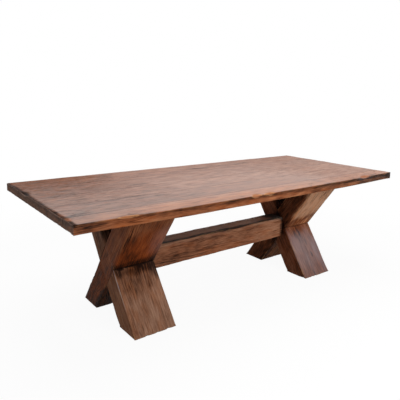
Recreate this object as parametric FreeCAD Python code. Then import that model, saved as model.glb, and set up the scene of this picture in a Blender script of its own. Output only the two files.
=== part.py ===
import FreeCAD, Part

import math
import os

# Sawbuck dining table in heavy reclaimed timber, every piece a separate solid.
# Millimetres. X runs along the table, Y from front to back (the front is -Y), Z is up.
# The origin lies on the floor under the middle of the top.

# ---- Top -------------------------------------------------------------------------------
table_height = 762.0
table_length = 2440.0
top_thickness = 44.0
front_board_width = 116.0
second_board_width = 201.0
third_board_width = 209.0
fourth_board_width = 258.0
back_board_width = 232.0
top_arris_radius = 5.0
underside_arris_radius = 2.0
board_joint_chamfer = 1.5

# ---- Waney hollows in the top's upper arris, their depth taken square to the arris ------
left_hollow_from_left_end = 300.0
left_hollow_length = 210.0
left_hollow_depth = 7.0
middle_hollow_left_of_middle = 125.0
middle_hollow_length = 180.0
middle_hollow_depth = 12.0
right_hollow_from_right_end = 310.0
right_hollow_length = 170.0
right_hollow_depth = 11.0
end_front_hollow_from_front = 210.0
end_front_hollow_length = 120.0
end_front_hollow_depth = 7.0
end_back_hollow_from_back = 328.0
end_back_hollow_length = 90.0
end_back_hollow_depth = 12.0

# ---- Loose splines between the boards --------------------------------------------------
spline_thickness = 8.0
spline_width = 32.0
spline_end_stop = 60.0
spline_clearance = 0.2

# ---- Trestles --------------------------------------------------------------------------
end_overhang = 380.0
leg_timber_width = 266.0
leg_timber_thickness = 141.0
crossing_height = 328.0
foot_spread = 462.0
leg_arris_radius = 7.0
foot_chamfer = 3.0
lap_clearance = 0.2

# ---- Stretcher, its tenons and its hanger bolts ----------------------------------------
stretcher_width = 118.0
stretcher_height = 146.0
stretcher_rise = 6.0
stretcher_arris_radius = 11.0
stretcher_hollow_place = 55.0
stretcher_hollow_length = 330.0
stretcher_hollow_depth = 8.0
tenon_width = 60.0
tenon_height = 80.0
tenon_length = 45.0
mortise_end_gap = 3.0
mortise_clearance = 0.25
hanger_bolt_diameter = 12.0
hanger_bolt_cover = 66.0
hanger_bolt_clearance = 1.0
hanger_bolt_tail = 8.0
hanger_pocket_setback = 70.0
hanger_pocket_length = 44.0
hanger_pocket_width = 44.0
hanger_nut_across_flats = 19.0
hanger_nut_height = 10.0
hanger_washer_diameter = 34.0
hanger_washer_thickness = 3.0

# ---- Screws that hold each half-lap, hidden behind the stretcher's shoulder ------------
lap_screw_diameter = 8.0
lap_screw_cover = 66.0
lap_screw_head_diameter = 15.0
lap_screw_head_height = 4.5
lap_screw_margin = 6.0

# ---- Bearers let into the arm tops -----------------------------------------------------
bearer_width = 90.0
bearer_thickness = 45.0
bearer_end_margin = 45.0
bearer_clearance = 0.5
lag_screw_diameter = 10.0
lag_screw_length = 110.0
lag_head_across_flats = 16.0
lag_head_height = 7.0
lag_washer_diameter = 21.0
lag_washer_thickness = 2.0
lag_counterbore_diameter = 26.0
lag_counterbore_depth = 12.0
lag_spread = 55.0
lag_stagger = 20.0

# ---- Battens across the underside of the top -------------------------------------------
batten_width = 70.0
batten_thickness = 30.0
batten_edge_inset = 38.0
batten_taper_length = 70.0
batten_end_thickness = 10.0
batten_beyond_trestle = 165.0

# ---- Screws and washers that hold the top down, in slots that let the boards move ------
top_screw_diameter = 5.0
top_screw_point_cover = 2.0
top_screw_head_diameter = 10.0
top_screw_head_height = 3.5
top_washer_diameter = 16.0
top_washer_thickness = 1.5
top_screw_web = 22.0
slot_travel = 8.0
slot_clearance = 1.0
pocket_clearance = 2.0
edge_screw_setback = 53.0
bearer_screw_count = 4
bearer_screw_arm_margin = 30.0

# ---- Shared by all screws and washers --------------------------------------------------
washer_bore_clearance = 0.5
screw_tip_per_diameter = 1.0

# ---- Sizes that follow from those above ------------------------------------------------
board_widths = (front_board_width, second_board_width, third_board_width,
                fourth_board_width, back_board_width)
board_names = ("front", "second", "third", "fourth", "back")
table_width = sum(board_widths)
underside = table_height - top_thickness
half_length = table_length / 2
half_width = table_width / 2
lean_slope = foot_spread / 2 / crossing_height
lean_angle = math.atan(lean_slope)
leg_half_section = leg_timber_thickness / 2 / math.cos(lean_angle)
trestle_outer = half_length - end_overhang
trestle_inner = trestle_outer - leg_timber_width
trestle_middle = (trestle_inner + trestle_outer) / 2
stretcher_middle = crossing_height + stretcher_rise
stretcher_top = stretcher_middle + stretcher_height / 2
stretcher_bottom = stretcher_middle - stretcher_height / 2
spline_seat = underside + (top_thickness - spline_thickness) / 2
top_screw_seat = underside - top_screw_web
top_screw_point = spline_seat - top_screw_point_cover
bearer_bottom = underside - bearer_thickness
lag_seat = underside - lag_counterbore_depth
lag_shank_top = lag_seat + lag_washer_thickness
batten_half_length = half_width - batten_edge_inset
outer_batten_place = trestle_outer + batten_beyond_trestle + batten_width / 2
beyond = 10.0
edge_search_depth = 1.0


def vector(x, y, z):
    """A FreeCAD vector."""
    return FreeCAD.Vector(x, y, z)


def block(x0, x1, y0, y1, z0, z1):
    """A box between two corners."""
    return Part.makeBox(x1 - x0, y1 - y0, z1 - z0, vector(x0, y0, z0))


def rod(start, end, radius):
    """A round bar from one point to another."""
    along = end - start
    return Part.makeCylinder(radius, along.Length, start, along)


def taper(start, end, start_radius, end_radius):
    """A cone frustum from one point to another."""
    along = end - start
    return Part.makeCone(start_radius, end_radius, along.Length, start, along)


def hexagon_bar(start, end, across_flats):
    """A hexagonal bar from one point to another."""
    along = end - start
    corner_radius = across_flats / math.sqrt(3)
    placement = FreeCAD.Placement(start, FreeCAD.Rotation(vector(0, 0, 1), along))
    corners = []
    for step in range(7):
        angle = math.radians(60 * step)
        corner = vector(corner_radius * math.cos(angle), corner_radius * math.sin(angle), 0)
        corners.append(placement.multVec(corner))
    return Part.Face(Part.makePolygon(corners)).extrude(along)


def prism_along_x(outline, x0, x1):
    """An outline of (y, z) points in the YZ plane, carried from x0 to x1."""
    points = [vector(x0, y, z) for y, z in outline]
    return Part.Face(Part.makePolygon(points + points[:1])).extrude(vector(x1 - x0, 0, 0))


def edges_where(solid, test):
    """The solid's edges whose two end points both pass the test."""
    return [edge for edge in solid.Edges if all(test(vertex.Point) for vertex in edge.Vertexes)]


def slot_along_y(x, y, z0, z1, width, travel):
    """An upright round-ended slot, its travel along Y."""
    middle = block(x - width / 2, x + width / 2, y - travel / 2, y + travel / 2, z0, z1)
    front = rod(vector(x, y - travel / 2, z0), vector(x, y - travel / 2, z1), width / 2)
    back = rod(vector(x, y + travel / 2, z0), vector(x, y + travel / 2, z1), width / 2)
    return middle.fuse([front, back])


def arris_hollow(place, outward, length, depth):
    """A scoop out of a square arris: a round bar lying across it, square to the arris.

    The bar's axis lies in the plane that bevels the arris at 45 degrees, and its radius is
    the one whose chord of the given length stands the given depth off the arris.
    """
    radius = (length * length / 4 + depth * depth) / (2 * depth)
    bevel_normal = (outward + vector(0, 0, 1)).normalize()
    bar_direction = (vector(0, 0, 1) - outward).normalize()
    middle = place + bevel_normal * (radius - depth)
    reach = bar_direction * (top_thickness + depth)
    return rod(middle - reach, middle + reach, radius)


# ---- The top and its splines -----------------------------------------------------------
def board_span(index):
    """The front and back faces of one board, counted from the front."""
    front = -half_width + sum(board_widths[:index])
    return front, front + board_widths[index]


def top_hollows():
    """The scoops that the waney hollows leave in the front arris and the left end's arris."""
    front_hollows = (
        (left_hollow_from_left_end - half_length, left_hollow_length, left_hollow_depth),
        (-middle_hollow_left_of_middle, middle_hollow_length, middle_hollow_depth),
        (half_length - right_hollow_from_right_end, right_hollow_length, right_hollow_depth))
    end_hollows = (
        (end_front_hollow_from_front - half_width, end_front_hollow_length, end_front_hollow_depth),
        (half_width - end_back_hollow_from_back, end_back_hollow_length, end_back_hollow_depth))
    scoops = []
    for x, length, depth in front_hollows:
        place = vector(x, -half_width, table_height)
        scoops.append(arris_hollow(place, vector(0, -1, 0), length, depth))
    for y, length, depth in end_hollows:
        place = vector(-half_length, y, table_height)
        scoops.append(arris_hollow(place, vector(-1, 0, 0), length, depth))
    return scoops


def top_slab():
    """The whole top with its worn outer arrises and waney hollows, before it is split."""
    slab = block(-half_length, half_length, -half_width, half_width, underside, table_height)
    upper = edges_where(slab, lambda point: point.z > table_height - edge_search_depth)
    slab = slab.makeFillet(top_arris_radius, upper)
    lower = edges_where(slab, lambda point: point.z < underside + edge_search_depth)
    slab = slab.makeFillet(underside_arris_radius, lower)
    return slab.cut(top_hollows())


def board_cell(index):
    """The space of one board, its upper joint edges chamfered."""
    front, back = board_span(index)
    front_chamfer = board_joint_chamfer if index > 0 else 0
    back_chamfer = board_joint_chamfer if index < len(board_widths) - 1 else 0
    outline = [(front, underside), (back, underside), (back, table_height - back_chamfer)]
    if back_chamfer:
        outline.append((back - back_chamfer, table_height))
    outline.append((front + front_chamfer, table_height))
    if front_chamfer:
        outline.append((front, table_height - front_chamfer))
    return prism_along_x(outline, -half_length, half_length)


def spline_blank(index, clearance):
    """The loose spline in the joint behind a board, or with a clearance its groove.

    The clearance widens it and adds headroom, so the spline lies on the groove's floor.
    """
    joint = board_span(index)[1]
    half = spline_width / 2 + clearance
    reach = half_length - spline_end_stop + clearance
    ceiling = spline_seat + spline_thickness + clearance
    return block(-reach, reach, joint - half, joint + half, spline_seat, ceiling)


def make_boards(pilot_holes):
    """The five boards, grooved for the splines and drilled for the screws."""
    slab = top_slab()
    grooves = [spline_blank(index, spline_clearance) for index in range(len(board_widths) - 1)]
    boards = {}
    for index, name in enumerate(board_names):
        board = slab.common(board_cell(index))
        own_grooves = grooves[max(index - 1, 0):index + 1]
        boards["top_board_" + name] = board.cut(own_grooves + pilot_holes)
    return boards


def make_splines():
    """The four splines, one behind each board but the last."""
    splines = {}
    for index in range(len(board_widths) - 1):
        name = "top_spline_{}_to_{}".format(board_names[index], board_names[index + 1])
        splines[name] = spline_blank(index, 0)
    return splines


# ---- Screws up into the top ------------------------------------------------------------
def batten_places():
    """Each batten's name and its middle along X."""
    return (("left", -outer_batten_place), ("middle", 0.0), ("right", outer_batten_place))


def batten_screw_places():
    """Where a batten's screws stand along Y: each board's middle, kept off the batten's ends."""
    limit = batten_half_length - edge_screw_setback
    places = []
    for index in range(len(board_widths)):
        front, back = board_span(index)
        places.append(max(-limit, min(limit, (front + back) / 2)))
    return places


def bearer_screw_places():
    """Where a bearer's screws stand along Y, evenly spaced between the trestle's arms."""
    arm_face = (bearer_bottom - crossing_height) * lean_slope - leg_half_section
    outermost = arm_face - bearer_screw_arm_margin
    spacing = 2 * outermost / (bearer_screw_count - 1)
    return [-outermost + spacing * number for number in range(bearer_screw_count)]


def shank(start, point, diameter):
    """A screw's plain shank with its conical tip, which is also the hole that it makes."""
    along = (point - start).normalize()
    tip_base = point - along * (diameter * screw_tip_per_diameter)
    tip = taper(tip_base, point, diameter / 2, 0)
    return rod(start, tip_base, diameter / 2).fuse(tip).removeSplitter()


def top_screw_shank(x, y):
    """A top screw's shank, from its head under the washer up into the board."""
    start = vector(x, y, top_screw_seat - top_washer_thickness)
    return shank(start, vector(x, y, top_screw_point), top_screw_diameter)


def top_screw(x, y):
    """A pan-head screw with its head under a washer and its point up in the board."""
    head_top = vector(x, y, top_screw_seat - top_washer_thickness)
    head_bottom = head_top - vector(0, 0, top_screw_head_height)
    head = rod(head_bottom, head_top, top_screw_head_diameter / 2)
    return head.fuse(top_screw_shank(x, y)).removeSplitter()


def top_washer(x, y):
    """The washer that a top screw's head bears on."""
    seat = vector(x, y, top_screw_seat)
    lower = seat - vector(0, 0, top_washer_thickness)
    bore_radius = (top_screw_diameter + washer_bore_clearance) / 2
    return rod(lower, seat, top_washer_diameter / 2).cut(rod(lower, seat, bore_radius))


def slotted_seat(x, y, underneath):
    """The slot for one top screw and the pocket for its washer, open at the given height."""
    slot_width = top_screw_diameter + slot_clearance
    slot = slot_along_y(x, y, top_screw_seat - beyond, underside + beyond, slot_width, slot_travel)
    pocket_width = top_washer_diameter + pocket_clearance
    pocket = slot_along_y(x, y, underneath - beyond, top_screw_seat, pocket_width, slot_travel)
    return [slot, pocket]


def top_screw_places():
    """Every screw up into the top, through the battens and the bearers."""
    places = []
    for _, x in batten_places():
        places += [(x, y) for y in batten_screw_places()]
    for x in (-trestle_middle, trestle_middle):
        places += [(x, y) for y in bearer_screw_places()]
    return places


def make_battens():
    """The three battens, their ends tapered and their screw holes slotted."""
    battens = {}
    half = batten_half_length
    full = half - batten_taper_length
    lowest = underside - batten_thickness
    end_height = underside - batten_end_thickness
    outline = [(-half, underside), (-half, end_height), (-full, lowest), (full, lowest),
               (half, end_height), (half, underside)]
    for name, x in batten_places():
        batten = prism_along_x(outline, x - batten_width / 2, x + batten_width / 2)
        cutters = []
        for y in batten_screw_places():
            cutters += slotted_seat(x, y, lowest)
        battens["top_batten_" + name] = batten.cut(cutters)
    return battens


# ---- Trestles --------------------------------------------------------------------------
def leg_outline(lean, margin):
    """A leg timber's side view from floor to underside, widened each way by the margin.

    lean is +1 where the timber's top is behind its foot, and -1 where it is in front.
    """
    half = leg_half_section + margin / math.cos(lean_angle)
    foot = -lean * crossing_height * lean_slope
    head = lean * (underside - crossing_height) * lean_slope
    return [(foot - half, 0), (foot + half, 0), (head + half, underside), (head - half, underside)]


def lag_places(x_middle):
    """Where one trestle's lag screws stand: two in each arm, staggered about its middle line."""
    half_way_down = lag_shank_top - lag_screw_length / 2
    arm_middle = (half_way_down - crossing_height) * lean_slope
    places = []
    for arm in (-1, 1):
        places.append((x_middle - lag_stagger, arm * (arm_middle - lag_spread / 2)))
        places.append((x_middle + lag_stagger, arm * (arm_middle + lag_spread / 2)))
    return places


def lag_shank(x, y):
    """A lag screw's shank, from its washer down into the arm."""
    start = vector(x, y, lag_shank_top)
    return shank(start, start - vector(0, 0, lag_screw_length), lag_screw_diameter)


def lap_screw_places():
    """Where the lap screws stand round a tenon, as (y, z)."""
    gap = lap_screw_head_diameter / 2 + lap_screw_margin
    beside = tenon_width / 2 + gap
    above = tenon_height / 2 + gap
    return ((-beside, stretcher_middle), (beside, stretcher_middle),
            (0, stretcher_middle - above), (0, stretcher_middle + above))


def lap_screw(side, y, z):
    """A countersunk lap screw, driven outwards from the inner face of one crossing."""
    head = vector(side * trestle_inner, y, z)
    neck = head + vector(side * lap_screw_head_height, 0, 0)
    point = vector(side * (trestle_outer - lap_screw_cover), y, z)
    cone = taper(head, neck, lap_screw_head_diameter / 2, lap_screw_diameter / 2)
    return cone.fuse(shank(neck, point, lap_screw_diameter)).removeSplitter()


def hanger_bolt(side):
    """The hanger bolt of one crossing, from its end in the lap to its tail in the pocket."""
    outer_end = trestle_outer - hanger_bolt_cover
    inner_end = (trestle_inner - hanger_pocket_setback - hanger_washer_thickness
                 - hanger_nut_height - hanger_bolt_tail)
    start = vector(side * inner_end, 0, stretcher_middle)
    return rod(start, vector(side * outer_end, 0, stretcher_middle), hanger_bolt_diameter / 2)


def tenon_blank(side, clearance, end_gap):
    """The stretcher's tenon at one end, or with its clearances the mortise for it."""
    half_y = tenon_width / 2 + clearance
    half_z = tenon_height / 2
    near, far = sorted((side * trestle_inner, side * (trestle_inner + tenon_length + end_gap)))
    return block(near, far, -half_y, half_y,
                 stretcher_middle - half_z, stretcher_middle + half_z + clearance)


def bearer_blank(x_middle, clearance):
    """A bearer, or with a clearance the trench for it in the arm tops."""
    outermost_lag = max(y for _, y in lag_places(x_middle))
    half_x = bearer_width / 2 + clearance
    half_y = outermost_lag + bearer_end_margin + clearance
    return block(x_middle - half_x, x_middle + half_x, -half_y, half_y, bearer_bottom, underside)


def leg_timber(side, lean):
    """One leg timber, half-lapped, mortised, trenched for the bearer and drilled.

    The timber whose foot is at the front keeps the inner half of the crossing, and the one
    whose foot is at the back keeps the outer half.
    """
    x0, x1 = sorted((side * trestle_inner, side * trestle_outer))
    x_middle = side * trestle_middle
    timber = prism_along_x(leg_outline(lean, 0), x0, x1)
    long_edges = [edge for edge in timber.Edges
                  if abs(edge.Vertexes[0].Point.z - edge.Vertexes[1].Point.z) > underside / 2]
    timber = timber.makeFillet(leg_arris_radius, long_edges)
    sole = edges_where(timber, lambda point: point.z < edge_search_depth)
    timber = timber.makeChamfer(foot_chamfer, sole)
    keeps_inner_half = lean > 0
    if keeps_inner_half:
        lost = sorted((x_middle, side * (trestle_outer + beyond)))
    else:
        lost = sorted((x_middle, side * (trestle_inner - beyond)))
    cutters = [prism_along_x(leg_outline(-lean, lap_clearance), lost[0], lost[1])]
    cutters.append(bearer_blank(x_middle, bearer_clearance))
    cutters.append(hanger_bolt(side))
    cutters += [lap_screw(side, y, z) for y, z in lap_screw_places()]
    cutters += [lag_shank(x, y) for x, y in lag_places(x_middle)]
    if keeps_inner_half:
        cutters.append(tenon_blank(side, mortise_clearance, mortise_end_gap))
    return timber.cut(cutters)


def make_trestles():
    """The four leg timbers."""
    legs = {}
    for side_name, side in (("left", -1), ("right", 1)):
        legs["leg_{}_front_foot".format(side_name)] = leg_timber(side, 1)
        legs["leg_{}_back_foot".format(side_name)] = leg_timber(side, -1)
    return legs


def make_bearers():
    """The two bearers, counterbored for the lag screws and slotted for the top screws."""
    bearers = {}
    for side_name, side in (("left", -1), ("right", 1)):
        x_middle = side * trestle_middle
        cutters = []
        for x, y in lag_places(x_middle):
            seat = vector(x, y, lag_seat)
            cutters.append(lag_shank(x, y))
            cutters.append(rod(seat, vector(x, y, underside + beyond), lag_counterbore_diameter / 2))
        for y in bearer_screw_places():
            cutters += slotted_seat(x_middle, y, bearer_bottom)
        bearers["bearer_" + side_name] = bearer_blank(x_middle, 0).cut(cutters)
    return bearers


# ---- Stretcher -------------------------------------------------------------------------
def make_stretcher():
    """The stretcher: a worn beam with a stub tenon, bolt hole and nut pocket at each end."""
    beam = block(-trestle_inner, trestle_inner, -stretcher_width / 2, stretcher_width / 2,
                 stretcher_bottom, stretcher_top)
    long_edges = [edge for edge in beam.Edges
                  if abs(edge.Vertexes[0].Point.x - edge.Vertexes[1].Point.x) > trestle_inner]
    beam = beam.makeFillet(stretcher_arris_radius, long_edges)
    arris = vector(stretcher_hollow_place, -stretcher_width / 2, stretcher_top)
    hollow = arris_hollow(arris, vector(0, -1, 0), stretcher_hollow_length, stretcher_hollow_depth)
    beam = beam.cut(hollow)
    beam = beam.fuse([tenon_blank(side, 0, 0) for side in (-1, 1)]).removeSplitter()
    bore_radius = (hanger_bolt_diameter + hanger_bolt_clearance) / 2
    cutters = []
    half_pocket = hanger_pocket_width / 2
    for side in (-1, 1):
        wall = side * (trestle_inner - hanger_pocket_setback)
        x0, x1 = sorted((wall, wall - side * hanger_pocket_length))
        cutters.append(block(x0, x1, -half_pocket, half_pocket,
                             stretcher_bottom - beyond, stretcher_middle + half_pocket))
        bore_end = vector(side * (trestle_inner + tenon_length + beyond), 0, stretcher_middle)
        cutters.append(rod(vector(wall, 0, stretcher_middle), bore_end, bore_radius))
    return {"stretcher": beam.cut(cutters)}


# ---- Fasteners, one group of solids for each kind --------------------------------------
def hanger_washer(side):
    """The washer between one hanger nut and the wall of its pocket."""
    wall = vector(side * (trestle_inner - hanger_pocket_setback), 0, stretcher_middle)
    inner = wall - vector(side * hanger_washer_thickness, 0, 0)
    bore_radius = (hanger_bolt_diameter + washer_bore_clearance) / 2
    return rod(inner, wall, hanger_washer_diameter / 2).cut(rod(inner, wall, bore_radius))


def hanger_nut(side):
    """The nut on one hanger bolt."""
    seat = trestle_inner - hanger_pocket_setback - hanger_washer_thickness
    outer = vector(side * seat, 0, stretcher_middle)
    inner = vector(side * (seat - hanger_nut_height), 0, stretcher_middle)
    bore = rod(inner, outer, hanger_bolt_diameter / 2)
    return hexagon_bar(inner, outer, hanger_nut_across_flats).cut(bore)


def lag_screw(x, y):
    """A hexagon-head lag screw through a bearer into an arm."""
    seat = vector(x, y, lag_shank_top)
    head = hexagon_bar(seat, seat + vector(0, 0, lag_head_height), lag_head_across_flats)
    return head.fuse(lag_shank(x, y)).removeSplitter()


def lag_washer(x, y):
    """The washer under one lag screw's head."""
    seat = vector(x, y, lag_seat)
    upper = seat + vector(0, 0, lag_washer_thickness)
    bore_radius = (lag_screw_diameter + washer_bore_clearance) / 2
    return rod(seat, upper, lag_washer_diameter / 2).cut(rod(seat, upper, bore_radius))


def make_fasteners():
    """Each kind of fastener as one group of separate solids."""
    sides = (-1, 1)
    lags = [place for side in sides for place in lag_places(side * trestle_middle)]
    laps = [(side, y, z) for side in sides for y, z in lap_screw_places()]
    groups = {
        "stretcher_hanger_bolts": [hanger_bolt(side) for side in sides],
        "stretcher_washers": [hanger_washer(side) for side in sides],
        "stretcher_nuts": [hanger_nut(side) for side in sides],
        "lap_screws": [lap_screw(side, y, z) for side, y, z in laps],
        "bearer_lag_screws": [lag_screw(x, y) for x, y in lags],
        "bearer_lag_washers": [lag_washer(x, y) for x, y in lags],
        "top_screws": [top_screw(x, y) for x, y in top_screw_places()],
        "top_screw_washers": [top_washer(x, y) for x, y in top_screw_places()],
    }
    return {name: Part.makeCompound(solids) for name, solids in groups.items()}


def make_table():
    """Every piece of the table by name."""
    pieces = {}
    pieces.update(make_boards([top_screw_shank(x, y) for x, y in top_screw_places()]))
    pieces.update(make_splines())
    pieces.update(make_battens())
    pieces.update(make_bearers())
    pieces.update(make_trestles())
    pieces.update(make_stretcher())
    pieces.update(make_fasteners())
    return pieces


os.makedirs("parts", exist_ok=True)
for piece_name, shape in make_table().items():
    shape.exportStep("parts/{}.step".format(piece_name))
    print("{:28s} {:3d} solids {:12.0f} mm3".format(piece_name, len(shape.Solids), shape.Volume))
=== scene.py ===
"""The looks of a sawbuck dining table in old dark-stained timber.

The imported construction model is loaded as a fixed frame. The five boards, the four leg
timbers and the stretcher are built again as worn, hewn surfaces in the same places, and
the hidden battens, bearers, splines and fasteners keep their own meshes and get a finish.
Everything is in metres: X along the table, Y from front to back, Z up.
"""
import logging
import math
from dataclasses import dataclass, field, replace
from enum import Enum
from itertools import product
from typing import Any, Union

import bpy
import numpy as np
from mathutils import Matrix, Vector


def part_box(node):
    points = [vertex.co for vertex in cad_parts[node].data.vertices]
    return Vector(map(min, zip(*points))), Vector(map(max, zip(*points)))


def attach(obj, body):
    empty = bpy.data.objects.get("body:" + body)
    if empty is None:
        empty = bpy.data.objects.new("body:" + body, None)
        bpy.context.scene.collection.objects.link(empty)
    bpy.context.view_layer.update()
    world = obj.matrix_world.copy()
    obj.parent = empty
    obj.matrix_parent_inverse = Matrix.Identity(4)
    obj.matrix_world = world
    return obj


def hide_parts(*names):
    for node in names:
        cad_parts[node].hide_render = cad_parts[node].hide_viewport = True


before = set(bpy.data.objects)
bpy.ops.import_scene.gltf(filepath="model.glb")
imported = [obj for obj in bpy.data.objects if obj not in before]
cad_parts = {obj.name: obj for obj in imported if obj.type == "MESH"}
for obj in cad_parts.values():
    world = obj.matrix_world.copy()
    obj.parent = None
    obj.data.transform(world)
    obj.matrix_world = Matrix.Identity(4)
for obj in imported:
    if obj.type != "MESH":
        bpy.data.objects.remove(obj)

Array = np.ndarray
Colour = tuple[float, float, float]
Triple = tuple[float, float, float]
Signs = tuple[int, int, int]
Socket = bpy.types.NodeSocket
UP = np.array([0.0, 0.0, 1.0])
BODY = "root"
SHARP_ANGLE = math.radians(38)
TINY = 1e-9
NO_LIMIT = np.inf

# A patch's reach that covers the whole table, and a distance at which an arris doesn't matter.
EVERYWHERE = 9.0
FAR_AWAY = 0.5

# The numbers that scatter the corners of a random field.
SCATTER = np.array([374761393, 668265263, 974634777])
SEED_SCATTER = 1013904223
SHUFFLE = 1274126177
LAST_BITS = 0xFFFFFF
LAYER_SEED = 101

logging.basicConfig(level=logging.INFO, format="%(name)s: %(message)s")
LOG = logging.getLogger("table")


class Side(Enum):
    """Which end of the table a piece stands at, as the sign of its X."""

    LEFT = -1
    RIGHT = 1


class Lean(Enum):
    """Which way a leg timber leans, as the sign of Y that its top goes to."""

    FRONT_FOOT = 1
    BACK_FOOT = -1


class Slot(Enum):
    """The record's material slots, whose names are only logged with the worn pieces."""

    TOP = "top_wood"
    TRESTLE = "trestle_wood"


# ---- Random fields and steps ---------------------------------------------------------------
def smooth_step(value: Array, start: float, end: float) -> Array:
    """A smooth rise from 0 at start to 1 at end.

    With t the clamped share of the way, the result is 3t² − 2t³.

    Args:
        value: the numbers to place.
        start: where the rise starts.
        end: where it ends, which may lie below start.

    Returns:
        The rise at each number, from 0 to 1.
    """
    share = np.clip((value - start) / (end - start), 0, 1)
    return share * share * (3 - 2 * share)


def lattice_noise(points: Array, seed: int) -> Array:
    """Smooth random values over space.

    Every whole-number point has a hashed random value, and the eight round a point are
    blended with the weight 3t² − 2t³ along each axis.

    Args:
        points: the places, as rows of three numbers.
        seed: which field of random values to use.

    Returns:
        One value from 0 to 1 for each place.
    """
    cell = np.floor(points).astype(np.int64)
    part = points - cell
    part = part * part * (3 - 2 * part)
    total = np.zeros(len(points))
    for corner in product((0, 1), repeat=3):
        spot = cell + corner
        code = spot @ SCATTER + seed * SEED_SCATTER
        code = (code ^ (code >> 13)) * SHUFFLE
        code = (code ^ (code >> 16)) & LAST_BITS
        weight = np.where(corner, part, 1 - part).prod(axis=1)
        total += weight * code / LAST_BITS
    return total


def rough_noise(points: Array, per_metre: Triple, seed: int, layers: int = 3) -> Array:
    """Layers of random fields, each twice as fine and half as strong as the one before.

    Args:
        points: the places in metres.
        per_metre: how many random values the coarsest layer has per metre along each axis.
        seed: which field to use.
        layers: how many layers are added.

    Returns:
        One value for each place, mostly within −1 to 1 and around 0.
    """
    total = np.zeros(len(points))
    for layer in range(layers):
        scaled = points * np.array(per_metre) * 2**layer
        total += (lattice_noise(scaled, seed + LAYER_SEED * layer) * 2 - 1) / 2**layer
    return total


# ---- Closed surfaces from filled cells -----------------------------------------------------
def planes(low: float, high: float, step: float, near: Array, low_dense: bool = True,
           high_dense: bool = True, extra: tuple[float, ...] | Array = ()) -> Array:
    """Places for the planes of a lattice along one axis.

    They lie about a step apart, closer towards a dense end, and exactly at the extra places.

    Args:
        low: the first plane.
        high: the last plane.
        step: the usual gap.
        near: distances from a dense end at which planes lie.
        low_dense: whether the low end is dense.
        high_dense: whether the high end is dense.
        extra: more places that need a plane.

    Returns:
        The sorted places.
    """
    fixed = [np.array([low, high]), np.array(extra, float)]
    if low_dense:
        fixed.append(low + near)
    if high_dense:
        fixed.append(high - near)
    kept = np.unique(np.round(np.concatenate(fixed), 6))
    regular = np.linspace(low, high, max(2, round((high - low) / step) + 1))
    gap = np.abs(regular[:, None] - kept[None, :]).min(axis=1)
    least_gap = 0.4 * step
    return np.sort(np.concatenate([kept, regular[gap > least_gap]]))


@dataclass
class Skin:
    """A closed surface with the values that its finish reads.

    Attributes:
        points: the corners' places.
        quads: the four corners of each face, anticlockwise from outside.
        values: for each named value, one number per corner.
    """

    points: Array
    quads: Array
    values: dict[str, Array] = field(default_factory=dict)

    def mesh(self, name: str) -> bpy.types.Mesh:
        """Makes the mesh.

        Args:
            name: the mesh's name.

        Returns:
            The mesh, smooth but for its sharp edges, with its values as attributes.
        """
        mesh = bpy.data.meshes.new(name)
        mesh.from_pydata(self.points.tolist(), [], self.quads.tolist())
        mesh.polygons.foreach_set("use_smooth", np.ones(len(self.quads), bool))
        mesh.set_sharp_from_angle(angle=SHARP_ANGLE)
        for key, numbers in self.values.items():
            attribute = mesh.attributes.new(key, "FLOAT", "POINT")
            attribute.data.foreach_set("value", numbers.astype(np.float32))
        mesh.validate()
        return mesh


@dataclass
class Lattice:
    """Cells between three sets of planes, some of them filled with wood.

    Attributes:
        planes: the places of the planes along each of the three axes.
        filled: which cells hold wood.
    """

    planes: tuple[Array, Array, Array]
    filled: Array = field(init=False)

    def __post_init__(self) -> None:
        """Fills every cell."""
        self.filled = np.ones([len(places) - 1 for places in self.planes], bool)

    def within(self, low: Triple, high: Triple) -> Array:
        """Finds the cells in a box.

        Args:
            low: the box's lowest corner.
            high: its highest corner.

        Returns:
            For each cell, whether its middle lies in the box.
        """
        inside = []
        for places, least, most in zip(self.planes, low, high):
            middles = (places[1:] + places[:-1]) / 2
            inside.append((middles > least) & (middles < most))
        return inside[0][:, None, None] & inside[1][None, :, None] & inside[2][None, None, :]

    def carve(self, low: Triple, high: Triple) -> None:
        """Empties the cells in a box."""
        self.filled &= ~self.within(low, high)

    def skin(self) -> Skin:
        """Wraps the filled cells.

        Along each axis every cell is compared with its neighbour, and a face stands
        wherever one of the two is filled and the other is empty.

        Returns:
            The closed surface between filled and empty cells.
        """
        padded = np.pad(self.filled, 1)
        counts = [len(places) for places in self.planes]
        steps = np.array([counts[1] * counts[2], counts[2], 1])
        quads = []
        for axis in range(3):
            order = (axis, (axis + 1) % 3, (axis + 2) % 3)
            cells = np.transpose(padded, order)[:, 1:-1, 1:-1]
            along, across, over = steps[list(order)]
            for outward, here, there in ((1, cells[:-1], cells[1:]), (-1, cells[1:], cells[:-1])):
                i, j, k = np.nonzero(here & ~there)
                base = i * along + j * across + k * over
                ring = np.stack([base, base + across, base + across + over, base + over], 1)
                quads.append(ring[:, ::outward])
        used, corners = np.unique(np.concatenate(quads), return_inverse=True)
        spots = np.unravel_index(used, counts)
        points = np.stack([places[spot] for places, spot in zip(self.planes, spots)], 1)
        return Skin(points, corners.reshape(-1, 4))


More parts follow.
